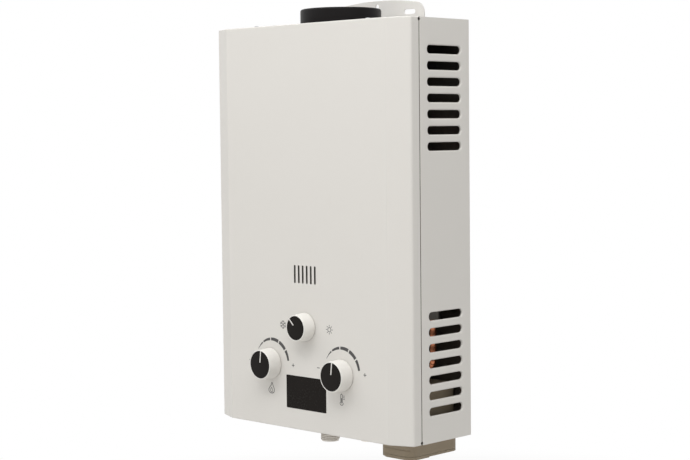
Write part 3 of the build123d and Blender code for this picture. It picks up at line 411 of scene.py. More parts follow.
def settled(form):
    """A bmesh as a plain mesh."""
    mesh = bpy.data.meshes.new("settled")
    form.to_mesh(mesh)
    form.free()
    return mesh


def closed_mesh(form, angle=38):
    """A mesh with its faces outwards and its creases sharp."""
    bmesh.ops.remove_doubles(form, verts=form.verts, dist=0.0000005)
    bmesh.ops.recalc_face_normals(form, faces=form.faces)
    mesh = settled(form)
    mesh.shade_smooth()
    mesh.set_sharp_from_angle(angle=math.radians(angle))
    return mesh


print("piece helpers ready")

# %% [markdown]
# A CAD mesh comes as loose triangles. `node_form` merges a copy of them and makes its flat faces whole
# again, so that edges can be found by their angle. `rounded` then breaks every sharp edge with a Bevel,
# apart from those that a test leaves out, and weighted normals keep the flats flat.

# %% Copies of CAD nodes
def node_form(name):
    """A merged copy of a CAD node's mesh with its flat faces whole again."""
    form = bmesh.new()
    form.from_mesh(nodes[name].data)
    bmesh.ops.remove_doubles(form, verts=form.verts, dist=0.000002)
    bmesh.ops.dissolve_limit(form, angle_limit=math.radians(0.6), verts=form.verts, edges=form.edges)
    return form


def rounded(form, width, leave=None, angle=32):
    """A mesh with the sharp edges of a form broken, apart from those that leave(edge) picks."""
    weight = form.edges.layers.float.new("bevel_weight_edge")
    for edge in form.edges:
        sharp = edge.is_manifold and edge.calc_face_angle() > math.radians(angle)
        edge[weight] = 1.0 if sharp and not (leave and leave(edge)) else 0.0
    mesh = settled(form)
    mesh.shade_smooth()
    edges = {"width": width, "segments": 3, "limit_method": "WEIGHT", "miter_outer": "MITER_ARC"}
    return baked(mesh, ("BEVEL", edges), ("WEIGHTED_NORMAL", {"keep_sharp": True, "weight": 80}))


print("copy helpers ready")

# %% [markdown]
# The side slots are not just punched: the press draws their edges inwards, so that no raw edge shows. The
# lower lip of each slot then faces up and catches the light, and the upper one is in shade. To make room
# for such lips, the slots in the copied casing are opened by the lip's radius. A rounded rectangle grows
# evenly when each of its points moves away from the nearest point of its core.

# %% Room for the slots' lips
SLOT_LENGTH, SLOT_HEIGHT, SLOT_CORNER = 52.0, 8.6, 4.0
SLOT_PITCH, SLOT_COUNT, SLOT_MARGIN = 16.4, 7, 32.0
SLOT_MIDDLE = CASE_DEPTH - 40.8
LIP, NEAR = 1.5, 0.05


def away_from_core(across, upward, half_length, half_height, corner):
    """The unit direction in which a point of a rounded rectangle moves when it grows."""
    core_length, core_height = half_length - corner, half_height - corner
    step = Vector((
        across - max(-core_length, min(core_length, across)),
        upward - max(-core_height, min(core_height, upward)),
    ))
    return step.normalized()


slot_heights = [SLOT_MARGIN + i * SLOT_PITCH for i in range(SLOT_COUNT)]
slot_heights += [CASE_HEIGHT - z for z in slot_heights]


def slot_at(point):
    """The height of the slot whose wall a point of the casing lies on, or None."""
    x, y, z = ruler(point)
    near = min(slot_heights, key=lambda height: abs(z - height))
    on_side = abs(x) > HALF_WIDTH - 2
    beside = abs(y - SLOT_MIDDLE) < SLOT_LENGTH / 2 + LIP + NEAR
    level = abs(z - near) < SLOT_HEIGHT / 2 + LIP + NEAR
    return near if on_side and beside and level else None


casing = node_form("rear_casing")
for vert in casing.verts:
    height = slot_at(vert.co)
    if height is not None:
        x, y, z = ruler(vert.co)
        away = away_from_core(y - SLOT_MIDDLE, z - height, SLOT_LENGTH / 2, SLOT_HEIGHT / 2, SLOT_CORNER)
        vert.co = spot(x, y + LIP * away.x, z + LIP * away.y)
print("slots opened:", 2 * len(slot_heights))

# %% [markdown]
# A sheet tears where two bends meet, so the corner gets a small hole before it is bent. The holes show as
# black dots at the ends of the seam between the cover and the casing. A Boolean cuts them out of the
# copies with four short pins. They could be painted as dots, but a hole stays dark from every side.

# %% Corner reliefs
SEAM, RELIEF_RADIUS, RELIEF_INSET, PIN_LENGTH = 22.45, 1.7, 2.3, 4.0
pins = bmesh.new()
for side in (1, -1):
    for z in (RELIEF_INSET, CASE_HEIGHT - RELIEF_INSET):
        lying = Matrix.Translation(spot(side * HALF_WIDTH, SEAM, z)) @ Matrix.Rotation(math.pi / 2, 4, "Y")
        radius = RELIEF_RADIUS / 1000
        sizes = {"radius1": radius, "radius2": radius, "depth": PIN_LENGTH / 1000}
        bmesh.ops.create_cone(pins, cap_ends=True, segments=24, matrix=lying, **sizes)
pin_holder = placed("pins", settled(pins))


def pierced(form):
    """A form with the four pins cut out of it."""
    cut = {"operation": "DIFFERENCE", "object": pin_holder, "solver": "EXACT"}
    mesh = baked(settled(form), ("BOOLEAN", cut))
    form = bmesh.new()
    form.from_mesh(mesh)
    bpy.data.meshes.remove(mesh)
    return form


copies = {"rear_casing": pierced(casing), "front_cover": pierced(node_form("front_cover"))}
bpy.data.meshes.remove(pin_holder.data)  # its holder goes with it
for node, form in copies.items():
    print(node, "pierced, open edges:", sum(not edge.is_manifold for edge in form.edges))

# %% [markdown]
# Sheet steel is never sharp: the shears roll every edge over and the coat rounds it again. Those soft
# edges catch the light as thin bright lines, which is most of what says sheet metal. The sheets are
# copied from the frame, and each edge that no lip will cover is broken by a part of the sheet's thickness.

# %% Sheet-metal pieces
sheets = {
    "front_cover": ("cover_sheet", 0.00028),
    "rear_casing": ("casing_sheet", 0.00028),
    "top_panel": ("top_sheet", 0.00022),
    "bottom_panel": ("bottom_sheet", 0.00022),
    "hanging_bracket": ("hanging_plate", 0.00035),
    "foot_bracket": ("foot_plate", 0.00035),
}


def on_slot(edge):
    """True for an edge on the wall of a side slot."""
    return all(slot_at(vert.co) is not None for vert in edge.verts)


sheet_meshes = {}
for node, (piece, width) in sheets.items():
    form = copies[node] if node in copies else node_form(node)
    sheet_meshes[node] = rounded(form, width, on_slot)
    keep(piece, sheet_meshes[node], "case", finish_of[node], node)

# %% [markdown]
# The gun only reaches the outside, so the case is bare, dull sheet within, and that is why the slots look so
# dark: grey metal mirrors the gloom where white paint would scatter light about. The sheet is also kept
# darker than bare steel, as painted shade. A second material goes on every face that looks inwards, and as
# painted shade on the bend deep in the seam between cover and casing.

# %% Bare metal inside the case, and painted shade in its seam
SHEET, MARGIN, MOSTLY, LEANING = 0.8, 0.1, 0.7, 0.6
SEAM_SHADE_START, SEAM_SHADE_END = 22.5, 24.2


def inside_or_seam_shade(polygon):
    """True for a face of the case's sheets that faces the works, or that lies deep in the seam as painted
    shade.
    """
    x, y, z = ruler(polygon.center)
    turn = polygon.normal
    # Painted shade: the bend deep in the seam between cover and casing takes the dark metal.
    if SEAM_SHADE_START < y < SEAM_SHADE_END and turn.y < -LEANING:
        return True
    from_side = HALF_WIDTH - abs(x)
    if abs(turn.x) > MOSTLY:
        return from_side > SHEET - MARGIN
    if from_side < SHEET + MARGIN:
        return False
    if abs(turn.y) > MOSTLY:
        return (turn.y > 0) == (y < CASE_DEPTH / 2)
    return abs(turn.z) > MOSTLY and (turn.z > 0) == (z < CASE_HEIGHT / 2)


tests = {
    "front_cover": inside_or_seam_shade,
    "rear_casing": inside_or_seam_shade,
    # Painted shade: the top and bottom panels take the dark metal on every face that does not face out, so
    # their flanges stay dark where they show through the corner reliefs.
    "top_panel": lambda polygon: polygon.normal.z < 0.5,
    "bottom_panel": lambda polygon: polygon.normal.z > -0.5,
}
for node, test in tests.items():
    sheet_meshes[node].materials.append(coats["bare_sheet"])
    bare = [polygon for polygon in sheet_meshes[node].polygons if test(polygon)]
    for polygon in bare:
        polygon.material_index = 1
    print(node, "bare faces:", len(bare))

# %% [markdown]
# What repeats is grown by Geometry Nodes. `Growth` is a geometry tree with named sizes. It ends in Realize
# Instances and Set Material, and is evaluated once into a plain mesh, because the export sees only those.

# %% Growing what repeats
class Growth(Board):
    """A geometry tree with named sizes."""

    def __init__(self, name):
        tree = bpy.data.node_groups.new(name, "GeometryNodeTree")
        super().__init__(tree)
        for way in ("INPUT", "OUTPUT"):
            tree.interface.new_socket("Geometry", in_out=way, socket_type="NodeSocketGeometry")
        self.entry = tree.nodes.new("NodeGroupInput")
        self.start = Tap(self, self.entry.outputs[0])
        self.values = {}

    def size(self, label, value):
        """A named input of the tree, with the value that it gets."""
        kind = "NodeSocketInt" if isinstance(value, int) else "NodeSocketFloat"
        socket = self.tree.interface.new_socket(label, in_out="INPUT", socket_type=kind)
        self.values[socket.identifier] = value
        return Tap(self, self.entry.outputs[len(self.values)])

    def vector(self, x, y, z):
        return self.add("ShaderNodeCombineXYZ", {0: x, 1: y, 2: z})

    def attribute(self, name):
        return self.add("GeometryNodeInputNamedAttribute", {"Name": name}, {"data_type": "FLOAT"})

    def grow(self, geometry, material, start=None):
        """The plain mesh that the tree makes out of a start mesh, or out of nothing."""
        real = self.add("GeometryNodeRealizeInstances", {"Geometry": geometry})
        done = self.add("GeometryNodeSetMaterial", {"Geometry": real, "Material": material})
        exit_node = self.tree.nodes.new("NodeGroupOutput")
        self.feed(exit_node.inputs[0], done)
        holder = placed("holder", start or bpy.data.meshes.new("nothing"))
        modifier = holder.modifiers.new("grow", "NODES")
        modifier.node_group = self.tree
        for identifier, value in self.values.items():
            modifier[identifier] = value
        return taken_off(holder)


print("growth helper ready")

# %% [markdown]
# One lip is a chain of rings round the slot: it starts flush with the side, rolls over a quarter circle,
# runs a little way in and comes back behind, a sheet's thickness away, so that it is a closed solid. It is
# drawn once, and the tree sets it on a line of points for each of the four groups, turned round on the left.

# %% Lips of the side slots
LIP_RUN = 0.8


def arc(start, sweep, steps):
    """The angles of an arc that is given in degrees."""
    return [math.radians(start + sweep * step / steps) for step in range(steps + 1)]


def slot_ring(grow):
    """Points round a slot that is grown by a margin, as (across, upward)."""
    corner = SLOT_CORNER + grow
    points = []
    for quarter, (side, level) in enumerate(((1, 1), (-1, 1), (-1, -1), (1, -1))):
        for angle in arc(90 * quarter, 90, 8):
            points.append((
                side * (SLOT_LENGTH / 2 - SLOT_CORNER) + corner * math.cos(angle),
                level * (SLOT_HEIGHT / 2 - SLOT_CORNER) + corner * math.sin(angle),
            ))
    return points


def roll(radius, steps):
    """A quarter roll at a radius about the lip's centre, as (margin, depth) points."""
    return [(LIP - radius * math.sin(turn), LIP - radius * math.cos(turn)) for turn in arc(0, 90, steps)]


def band(form, low, high):
    """A strip of faces between two rings of points. A ring of one point is a pole."""
    count = max(len(low), len(high))
    for i in range(count):
        j = (i + 1) % count
        face = [low[i % len(low)], low[j % len(low)], high[j % len(high)], high[i % len(high)]]
        form.faces.new(list(dict.fromkeys(face)))


lip_form = bmesh.new()
outside = roll(LIP, 7) + [(0.0, LIP + LIP_RUN)]
behind = roll(LIP - SHEET, 4) + [(SHEET, LIP + LIP_RUN)]
rings = []
for grow, depth in outside + behind[::-1]:
    rings.append([lip_form.verts.new((-depth / 1000, a / 1000, u / 1000)) for a, u in slot_ring(grow)])
for outer, inner in zip(rings, rings[1:] + rings[:1]):
    band(lip_form, outer, inner)
lip_ring = closed_mesh(lip_form)

lips = Growth("slot_lips")
count = lips.size("Slots in a group", SLOT_COUNT)
pitch = lips.size("Pitch", SLOT_PITCH / 1000)
half_width = lips.size("Half width", HALF_WIDTH / 1000)
groups = []
for side in (1, -1):
    for first in (slot_heights[0], slot_heights[-1]):
        place = spot(0, SLOT_MIDDLE, first)
        line = {
            "Count": count,
            "Start Location": lips.vector(side * half_width, place.y, place.z),
            "Offset": lips.vector(0.0, 0.0, pitch),
        }
        points = lips.add("GeometryNodeMeshLine", line)
        turn = (0.0, 0.0, 0.0 if side > 0 else math.pi)
        ring = {"Points": points, "Instance": lips.start, "Rotation": turn}
        groups.append(lips.add("GeometryNodeInstanceOnPoints", ring))
joined = lips.add("GeometryNodeJoinGeometry", {0: groups})
keep("slot_lips", lips.grow(joined, coats["white_paint"], lip_ring), "case", "white_paint")

# %% [markdown]
# Turned and moulded round pieces are lathed: a profile of radius and height goes round an axis. Real
# profiles have no sharp corners, so each corner can name a radius and gets an arc of that size.

# %% A lathe
def soft_profile(corners, steps=6):
    """A line of (radius, height) points with an arc at each corner that has a third value."""
    line = []
    for i, corner in enumerate(corners):
        here = Vector(corner[:2])
        if len(corner) < 3:
            line.append(here)
            continue
        before = (Vector(corners[i - 1][:2]) - here).normalized()
        after = (Vector(corners[i + 1][:2]) - here).normalized()
        half = before.angle(after) / 2
        reach = corner[2] / math.tan(half)
        middle = here + (before + after).normalized() * corner[2] / math.sin(half)
        start = here + before * reach - middle
        sweep = start.angle_signed(here + after * reach - middle)
        for step in range(steps + 1):
            line.append(middle + Matrix.Rotation(-sweep * step / steps, 2) @ start)
    return line


def lathe(form, profile, place, axis, segments=96):
    """Adds a turned shape to a form: a profile in millimetres round an axis through a place."""
    turn = Vector((0, 0, 1)).rotation_difference(axis).to_matrix()
    rings = []
    for radius, height in profile:
        ring = []
        for i in range(segments if radius > 0 else 1):
            angle = 2 * math.pi * i / segments
            point = Vector((radius * math.cos(angle), radius * math.sin(angle), height)) / 1000
            ring.append(form.verts.new(place + turn @ point))
        rings.append(ring)
    for low, high in zip(rings, rings[1:]):
        band(form, low, high)


print("lathe ready")

# %% [markdown]
# The flue collar is a short pressed tube with a rolled lip. Its outside takes the flue pipe, so its radius
# stays as the CAD has it and only its corners get softer.

# %% Flue collar
FLUE_DEPTH, FLUE_BORE, FLUE_RADIUS, NECK_RADIUS = 59.0, 39.6, 43.7, 40.6
FLUE_TOP, NECK_END = 17.0, -10.0
collar = bmesh.new()
profile = soft_profile([
    (FLUE_BORE, NECK_END), (FLUE_BORE, FLUE_TOP, 0.9), (FLUE_RADIUS, FLUE_TOP, 2.2),
    (FLUE_RADIUS, 0.0, 0.5), (NECK_RADIUS, 0.0), (NECK_RADIUS, NECK_END), (FLUE_BORE, NECK_END),
])
lathe(collar, profile, spot(0, FLUE_DEPTH, CASE_HEIGHT), Vector((0, 0, 1)), 128)
keep("collar_ring", closed_mesh(collar), "case", "black_enamel", "flue_collar")

# %% [markdown]
# Each knob is a white cone with a rounded rim round a black disc. The pointer is part of the white
# moulding and comes up through a slot in the disc, flush with the rim. The disc lies a little lower than
# the rim, so that the rim throws its thin shadow on it. The table gives each knob's place across and up,
# the radii of its disc and its foot, its height, its turn at rest and the start of its pointer.

# %% Knobs
KNOB_GAP, KNOB_RIM, DISC_DEPTH, DISC_DROP = 0.6, 1.0, 1.2, 0.25
DISC_FIT, DISC_BED = 0.06, 0.05
POINTER_WIDTH, POINTER_DROP, POINTER_BITE = 1.3, 0.04, 0.1
OUTWARDS = Vector((0, -1, 0))
knobs = {
    "season": (0.0, 112.2, 12.9, 15.3, 15.3, -45.0, 3.9),
    "flame": (-54.5, 68.2, 15.0, 16.8, 16.7, 6.0, 2.2),
    "water": (53.7, 65.5, 15.0, 16.8, 16.7, 6.0, 2.2),
}


def pointer_outline(start, disc):
    """The pointer from near the middle of the disc to its rim: a bar with a round inner end."""
    half = POINTER_WIDTH / 2
    middle = start + half
    inner = [(half * math.cos(turn), middle + half * math.sin(turn)) for turn in arc(180, 180, 8)]
    return inner + [(half, disc + POINTER_BITE), (-half, disc + POINTER_BITE)]


for name, (x, z, disc, base, height, angle, start) in knobs.items():
    place = spot(x, 0, z)
    body = bmesh.new()
    shell = [
        (0.0, KNOB_GAP), (base, KNOB_GAP, 0.4), (disc + KNOB_RIM, height, 0.7), (disc, height, 0.15),
        (disc, height - DISC_DEPTH), (0.0, height - DISC_DEPTH),
    ]
    lathe(body, soft_profile(shell), place, OUTWARDS)
    turn = Matrix.Rotation(math.radians(angle), 3, "Y")
    ends = []
    for y in (POINTER_DROP - height, DISC_DEPTH - height):
        corners = [turn @ Vector((across, y, out)) / 1000 for across, out in pointer_outline(start, disc)]
        ends.append([body.verts.new(place + corner) for corner in corners])
    body.faces.new(ends[0])
    body.faces.new(ends[1][::-1])
    band(body, ends[1], ends[0])
    keep(name + "_cap", closed_mesh(body), name + "_control", "knob_white", name + "_knob")
    plate = bmesh.new()
    low, high, edge = height - DISC_DEPTH + DISC_BED, height - DISC_DROP, disc - DISC_FIT
    lathe(plate, soft_profile([(0.0, low), (edge, low), (edge, high, 0.2), (0.0, high)]), place, OUTWARDS)
    keep(name + "_face", closed_mesh(plate), name + "_control", "disc_black", name + "_disc")

# %% [markdown]
# Round each lower knob runs a printed crescent of five arcs: thin on the left for little, broad over the
# top and to the right for much. The tree lays five flat grids on one spot, numbers them, and bends each of
# them round the knob by its number. A grid's own x then runs along the arc and its y across it, and a
# cosine gives the crescent's breadth, as two circles with different middles would. Ink is a thin film, so
# a Solidify turns the flat arcs into closed layers.

# %% Scales round the lower knobs
SCALE_START, SCALE_PITCH, SCALE_GAP = math.radians(-58.8), math.radians(27.8), math.radians(3.1)
INK_PROUD, INK_FILM = 0.00004, 0.00003


def scale_mesh(centre):
    """The five arcs of one scale, as a film of ink just in front of the cover."""
    arcs = Growth("scale_arcs")
    count = arcs.size("Arcs", 5)
    inner = arcs.size("Inner radius", 0.0252)
    breadth = arcs.size("Breadth", 0.0003)
    swell = arcs.size("Swell", 0.0035)
    lean = arcs.size("Lean", math.radians(34))
    points = arcs.add("GeometryNodeMeshLine", {"Count": count, "Offset": (0.0, 0.0, 0.0)})
    number = arcs.add("GeometryNodeInputIndex")
    stored = {"Geometry": points, "Name": "number", "Value": number}
    points = arcs.add("GeometryNodeStoreNamedAttribute", stored, {"data_type": "FLOAT", "domain": "POINT"})
    sizes = {"Size X": 1.0, "Size Y": 1.0, "Vertices X": 17, "Vertices Y": 2}
    grid = arcs.add("GeometryNodeMeshGrid", sizes)
    strips = arcs.add("GeometryNodeInstanceOnPoints", {"Points": points, "Instance": grid})
    strips = arcs.add("GeometryNodeRealizeInstances", {"Geometry": strips})
    place = arcs.add("GeometryNodeInputPosition")
    along = arcs.add("ShaderNodeSeparateXYZ", {0: place}, output="X")
    across = arcs.add("ShaderNodeSeparateXYZ", {0: place}, output="Y")
    number = arcs.attribute("number")
    turn = SCALE_START + (number + 0.5) * SCALE_PITCH + along * (SCALE_PITCH - SCALE_GAP)
    crest = arcs.add("ShaderNodeMath", {0: turn - lean}, {"operation": "COSINE"})
    radius = inner + (across + 0.5) * (breadth + swell * crest)
    sine = arcs.add("ShaderNodeMath", {0: turn}, {"operation": "SINE"})
    cosine = arcs.add("ShaderNodeMath", {0: turn}, {"operation": "COSINE"})
    there = arcs.vector(centre.x + radius * sine, centre.y - INK_PROUD, centre.z + radius * cosine)
    strips = arcs.add("GeometryNodeSetPosition", {"Geometry": strips, "Position": there})
    flat = arcs.grow(strips, ink)
    return baked(flat, ("SOLIDIFY", {"thickness": INK_FILM}))


for name, (x, z) in {"flame_scale": (-53.1, 68.0), "water_scale": (52.7, 67.3)}.items():
    keep(name, scale_mesh(spot(x, 0, z)), "case", "disc_black")

# %% [markdown]
# Signs say what the knobs do: a snowflake and a sun for the season, a flame and a thermometer for the two
# regulators, plus and minus at the ends of the scales. All are line drawings, so one function that lays a
# flat ribbon along a line of points draws every one of them.

# %% Drawing with ribbons
SIGN_SIZE = 1.35


def ribbon(form, centre, line, width, closed=False):
    """A flat stroke on the front along (across, upward) points in millimetres."""
    x, z = centre
    points = [Vector(point) * SIGN_SIZE for point in line]
    sides = []
    for i, point in enumerate(points):
        before = points[i - 1] if i or closed else None
        after = points[(i + 1) % len(points)] if i + 1 < len(points) or closed else None
        steps = [(point - before).normalized()] if before else []
        steps += [(after - point).normalized()] if after else []
        ahead = sum(steps, Vector((0, 0))).normalized()
        spread = width / 2 / max(0.5, abs(ahead.dot(steps[0])))
        offset = Vector((-ahead.y, ahead.x)) * spread
        edges = (point + offset, point - offset)
        sides.append([form.verts.new(spot(x + edge.x, -INK_PROUD * 1000, z + edge.y)) for edge in edges])
    pairs = list(zip(sides, sides[1:])) + ([(sides[-1], sides[0])] if closed else [])
    for first, second in pairs:
        form.faces.new((first[0], first[1], second[1], second[0]))


def ring_line(radius, count=28):
    return [(radius * math.sin(turn), radius * math.cos(turn)) for turn in arc(0, 360, count)[:-1]]


def spun(points, angle):
    """Points of a drawing turned about its middle."""
    turn = Matrix.Rotation(math.radians(angle), 2)
    return [tuple(turn @ Vector(point)) for point in points]


print("ribbon ready")

# %% [markdown]
# The signs themselves are short lists of strokes. A snowflake is one arm with two barbs, six times, and a
# sun is a ring with eight rays. The flame and the thermometer are closed outlines that a smooth curve
# through a few points makes round.

# %% Signs on the front
def smooth_loop(points, steps=6):
    """A closed smooth line through a few points."""
    line = []
    count = len(points)
    for i in range(count):
        a, b, c, d = (Vector(points[(i + k) % count]) for k in (-1, 0, 1, 2))
        for step in range(steps):
            t = step / steps
            bend = 2 * a - 5 * b + 4 * c - d
            line.append(tuple((2 * b + (c - a) * t + bend * t * t + (3 * b - a - 3 * c + d) * t ** 3) / 2))
    return line


STROKE = 0.8
SNOWFLAKE, SUN, FLAME, THERMOMETER = (-34.5, 112.0), (36.0, 112.0), (-54.0, 41.0), (53.0, 39.8)
PLUSES, MINUSES = [(-19.5, 69.0), (87.0, 69.0)], [(19.0, 70.0), (-87.0, 69.0)]
signs = bmesh.new()
for arm in range(6):
    for stroke in ([(0, 0.3), (0, 3.4)], [(-1.1, 3.0), (0, 2.1), (1.1, 3.0)]):
        ribbon(signs, SNOWFLAKE, spun(stroke, 60 * arm), STROKE * 0.85)
ribbon(signs, SUN, ring_line(1.7), STROKE * 0.9, True)
for ray in range(8):
    ribbon(signs, SUN, spun([(0, 2.5), (0, 3.7)], 45 * ray), STROKE * 0.85)
flame = [
    (0.0, -4.2), (2.5, -3.4), (3.3, -1.2), (2.2, 1.2), (0.5, 4.4), (-0.7, 1.9), (-2.0, 0.6), (-3.2, -1.4),
    (-2.5, -3.4),
]
ribbon(signs, FLAME, smooth_loop(flame), STROKE, True)
heart = [(0.0, -3.2), (1.2, -2.5), (1.0, -1.2), (0.0, 0.3), (-1.0, -1.2), (-1.2, -2.5)]
ribbon(signs, FLAME, smooth_loop(heart), STROKE * 0.8, True)
glass = [
    (0.9, -1.6), (1.75, -2.9), (0.95, -4.2), (-0.95, -4.2), (-1.75, -2.9), (-0.9, -1.6), (-0.9, 3.3),
    (0.0, 4.3), (0.9, 3.3),
]
ribbon(signs, THERMOMETER, smooth_loop(glass), STROKE * 0.9, True)
ribbon(signs, THERMOMETER, [(0.0, -3.0), (0.0, 1.2)], STROKE * 1.2)
for level in (0.4, 1.7, 3.0):
    ribbon(signs, THERMOMETER, [(1.9, level), (3.3, level)], STROKE * 0.8)
for place in PLUSES + MINUSES:
    ribbon(signs, place, [(-1.5, 0), (1.5, 0)], STROKE)
    if place in PLUSES:
        ribbon(signs, place, [(0, -1.5), (0, 1.5)], STROKE)
sign_mesh = settled(signs)
sign_mesh.materials.append(ink)
keep("front_signs", baked(sign_mesh, ("SOLIDIFY", {"thickness": INK_FILM})), "case", "disc_black")

# %% [markdown]
# The display's window is a dark lens that fills the cut-out, and its edge is barely broken. A copy of the
# CAD lens with a fine bevel is all that it needs.

# %% Display window
lens = rounded(node_form("display_window"), 0.00018)
keep("display_lens", lens, "case", "display_black", "display_window")

# %% [markdown]
# Four screws hold the cover, two above and two below. Their heads are domes with a cross recess. In the
# tree, a sphere cut by a cylinder and by a block below gives the dome, two bars cut the cross, and the head
# goes on four points that carry their own turn, because no screw ends up square.

# %% Cover screws
SCREW_INSET, FLATTER = 13.0, 1.02
screw_places = [(-84.0, 1, 0.3), (84.0, 1, 1.1), (-66.0, -1, 0.7), (66.0, -1, 2.0)]
screw_start = bpy.data.meshes.new("screw_places")
screw_start.from_pydata(
    [spot(x, SCREW_INSET, CASE_HEIGHT if way > 0 else 0) for x, way, turn in screw_places], [], []
)
for label, column in (("way", 1), ("turn", 2)):
    layer = screw_start.attributes.new(label, "FLOAT", "POINT")
    layer.data.foreach_set("value", [float(row[column]) for row in screw_places])

screws = Growth("cover_screws")
radius = screws.size("Head radius", 0.0038)
height = screws.size("Head height", 0.002)
groove = screws.size("Cross width", 0.0009)
reach = screws.size("Cross length", 0.0042)
ball_radius = (radius * radius + height * height) / (2 * height) * FLATTER
ball = screws.add("GeometryNodeMeshUVSphere", {"Segments": 48, "Rings": 48, "Radius": ball_radius})
sunk = screws.vector(0.0, 0.0, height - ball_radius)
ball = screws.add("GeometryNodeTransform", {"Geometry": ball, "Translation": sunk})
drum = screws.add("GeometryNodeMeshCylinder", {"Vertices": 48, "Radius": radius, "Depth": height * 3})
head = screws.add("GeometryNodeMeshBoolean", {"Mesh 2": [ball, drum]}, {"operation": "INTERSECT"})
block = screws.vector(radius * 3, radius * 3, height * 4)
below = screws.add("GeometryNodeMeshCube", {"Size": block})
sunk = screws.vector(0.0, 0.0, height * -2)
below = screws.add("GeometryNodeTransform", {"Geometry": below, "Translation": sunk})
raised = screws.vector(0.0, 0.0, height)
cuts = [below]
for sizes in ((groove, reach, height), (reach, groove, height * 1.1)):
    bar = screws.add("GeometryNodeMeshCube", {"Size": screws.vector(*sizes)})
    cuts.append(screws.add("GeometryNodeTransform", {"Geometry": bar, "Translation": raised}))
head = screws.add("GeometryNodeMeshBoolean", {"Mesh 1": head, "Mesh 2": cuts}, {"operation": "DIFFERENCE"})
tilt = (1 - screws.attribute("way")) * (math.pi / 2)
angles = screws.vector(tilt, 0.0, screws.attribute("turn"))
points = screws.add("GeometryNodeMeshToPoints", {"Mesh": screws.start})
heads = screws.add("GeometryNodeInstanceOnPoints", {"Points": points, "Instance": head, "Rotation": angles})
keep("screw_heads", screws.grow(heads, coats["zinc"], screw_start), "case", "zinc", "cover_screws")

# %% [markdown]
# Three pipes end in half-inch nipples under the case. The CAD gives them plain, at the outside of the
# thread. A copy of each fitting is turned down to the thread's root, and a spiral with a rounded section,
# wound by the thread's own pitch, makes the ridge up to the old outside.

# %% Threaded nipples
THREAD_RADIUS, THREAD_ROOT, THREAD_PITCH = 10.478, 9.4, 1.814
PLAIN_END, PLAIN_NECK, UNDER_CASE = 1.2, 1.4, -0.3
nipples = {
    "gas_valve": ("gas", -9.0, 45.0, 17.6),
    "water_valve": ("cold", 50.2, 45.0, 10.0),
    "hot_outlet": ("hot", -110.0, 50.0, 10.0),
}


def thread_mesh(x, y, reach, material):
    """The ridge of one thread, hanging from the case's bottom."""
    ridge = Growth("pipe_thread")
    pitch = ridge.size("Pitch", THREAD_PITCH / 1000)
    outside = ridge.size("Outside radius", THREAD_RADIUS / 1000)
    length = ridge.size("Length", (reach - PLAIN_END - PLAIN_NECK) / 1000)
    half = pitch * 0.5
    spiral = ridge.add("GeometryNodeCurveSpiral", {
        "Resolution": 40, "Rotations": length / pitch, "Start Radius": outside - half,
        "End Radius": outside - half, "Height": length,
    })
    spiral = ridge.add("GeometryNodeSetCurveNormal", {"Curve": spiral}, {"mode": "Z_UP"})
    ring = {"Resolution": 8, "Radius": half}
    section = ridge.add("GeometryNodeCurvePrimitiveCircle", ring, output="Curve")
    sweep = {"Curve": spiral, "Profile Curve": section, "Fill Caps": True}
    worm = ridge.add("GeometryNodeCurveToMesh", sweep)
    worm = ridge.add("GeometryNodeSetShadeSmooth", {"Geometry": worm, "Shade Smooth": False})
    hung = spot(x, y, PLAIN_END - reach)
    worm = ridge.add("GeometryNodeTransform", {"Geometry": worm, "Translation": hung})
    return ridge.grow(worm, material)


for node, (name, x, y, reach) in nipples.items():
    form = node_form(node)
    for vert in form.verts:
        place = ruler(vert.co)
        from_axis = place.xy - Vector((x, y))
        if place.z < UNDER_CASE and from_axis.length > (THREAD_ROOT + THREAD_RADIUS) / 2:
            from_axis = from_axis.normalized() * THREAD_ROOT
            vert.co = spot(x + from_axis.x, y + from_axis.y, place.z)
    slot = finish_of[node]
    keep(name + "_fitting", rounded(form, 0.0003), "case", slot, node)
    keep(name + "_thread", thread_mesh(x, y, reach, coats[slot]), "case", slot)

# %% [markdown]
# The battery box is a plain moulding with drawn, rounded edges and one parting line across its front, where
# two pieces of the mould met. The line is a shallow groove: four cuts round the skirt, of which the middle
# two are pushed in at the front.

# %% Battery box and lid
BOX_MIDDLE = (105.5, 62.75)
BOX_HALF = (23.3, 38.05)
BOX_CORNER = 10.7
PARTING, GROOVE_HALF, GROOVE_DEPTH, FRONT_WALL = -9.1, 0.3, 0.45, 2.2
box_form = node_form("battery_box")
for offset in (0.4, 0.25, -0.25, -0.4):
    everything = [*box_form.verts, *box_form.edges, *box_form.faces]
    level = spot(0, 0, PARTING + offset)
    bmesh.ops.bisect_plane(box_form, geom=everything, plane_co=level, plane_no=(0, 0, 1))
for vert in box_form.verts:
    x, y, z = ruler(vert.co)
    across, deep = x - BOX_MIDDLE[0], y - BOX_MIDDLE[1]
    if abs(z - PARTING) < GROOVE_HALF and deep < FRONT_WALL - BOX_HALF[1]:
        away = away_from_core(across, deep, *BOX_HALF, BOX_CORNER)
        vert.co = spot(x - GROOVE_DEPTH * away.x, y - GROOVE_DEPTH * away.y, z)
keep("battery_case", rounded(box_form, 0.0005), "case", "battery_plastic", "battery_box")
lid = rounded(node_form("battery_lid"), 0.0004)
keep("battery_door_plate", lid, "battery_door", "battery_plastic", "battery_lid")

# %% [markdown]
# The heater hangs in plain white space. The world shows white to the camera and in reflections but lights
# the heater less than that, so that the pale coat keeps its shape. Light Path tells the two apart, here
# and for the floor.

# %% World
def seen_straight(board):
    """One for rays that end in the eye, a mirror or a lens, and zero for rays that carry light."""
    kinds = ("Is Camera Ray", "Is Glossy Ray", "Is Transmission Ray")
    eye, mirror, lens = (board.add("ShaderNodeLightPath", output=kind) for kind in kinds)
    return board.add("ShaderNodeClamp", {"Value": eye + mirror + lens})


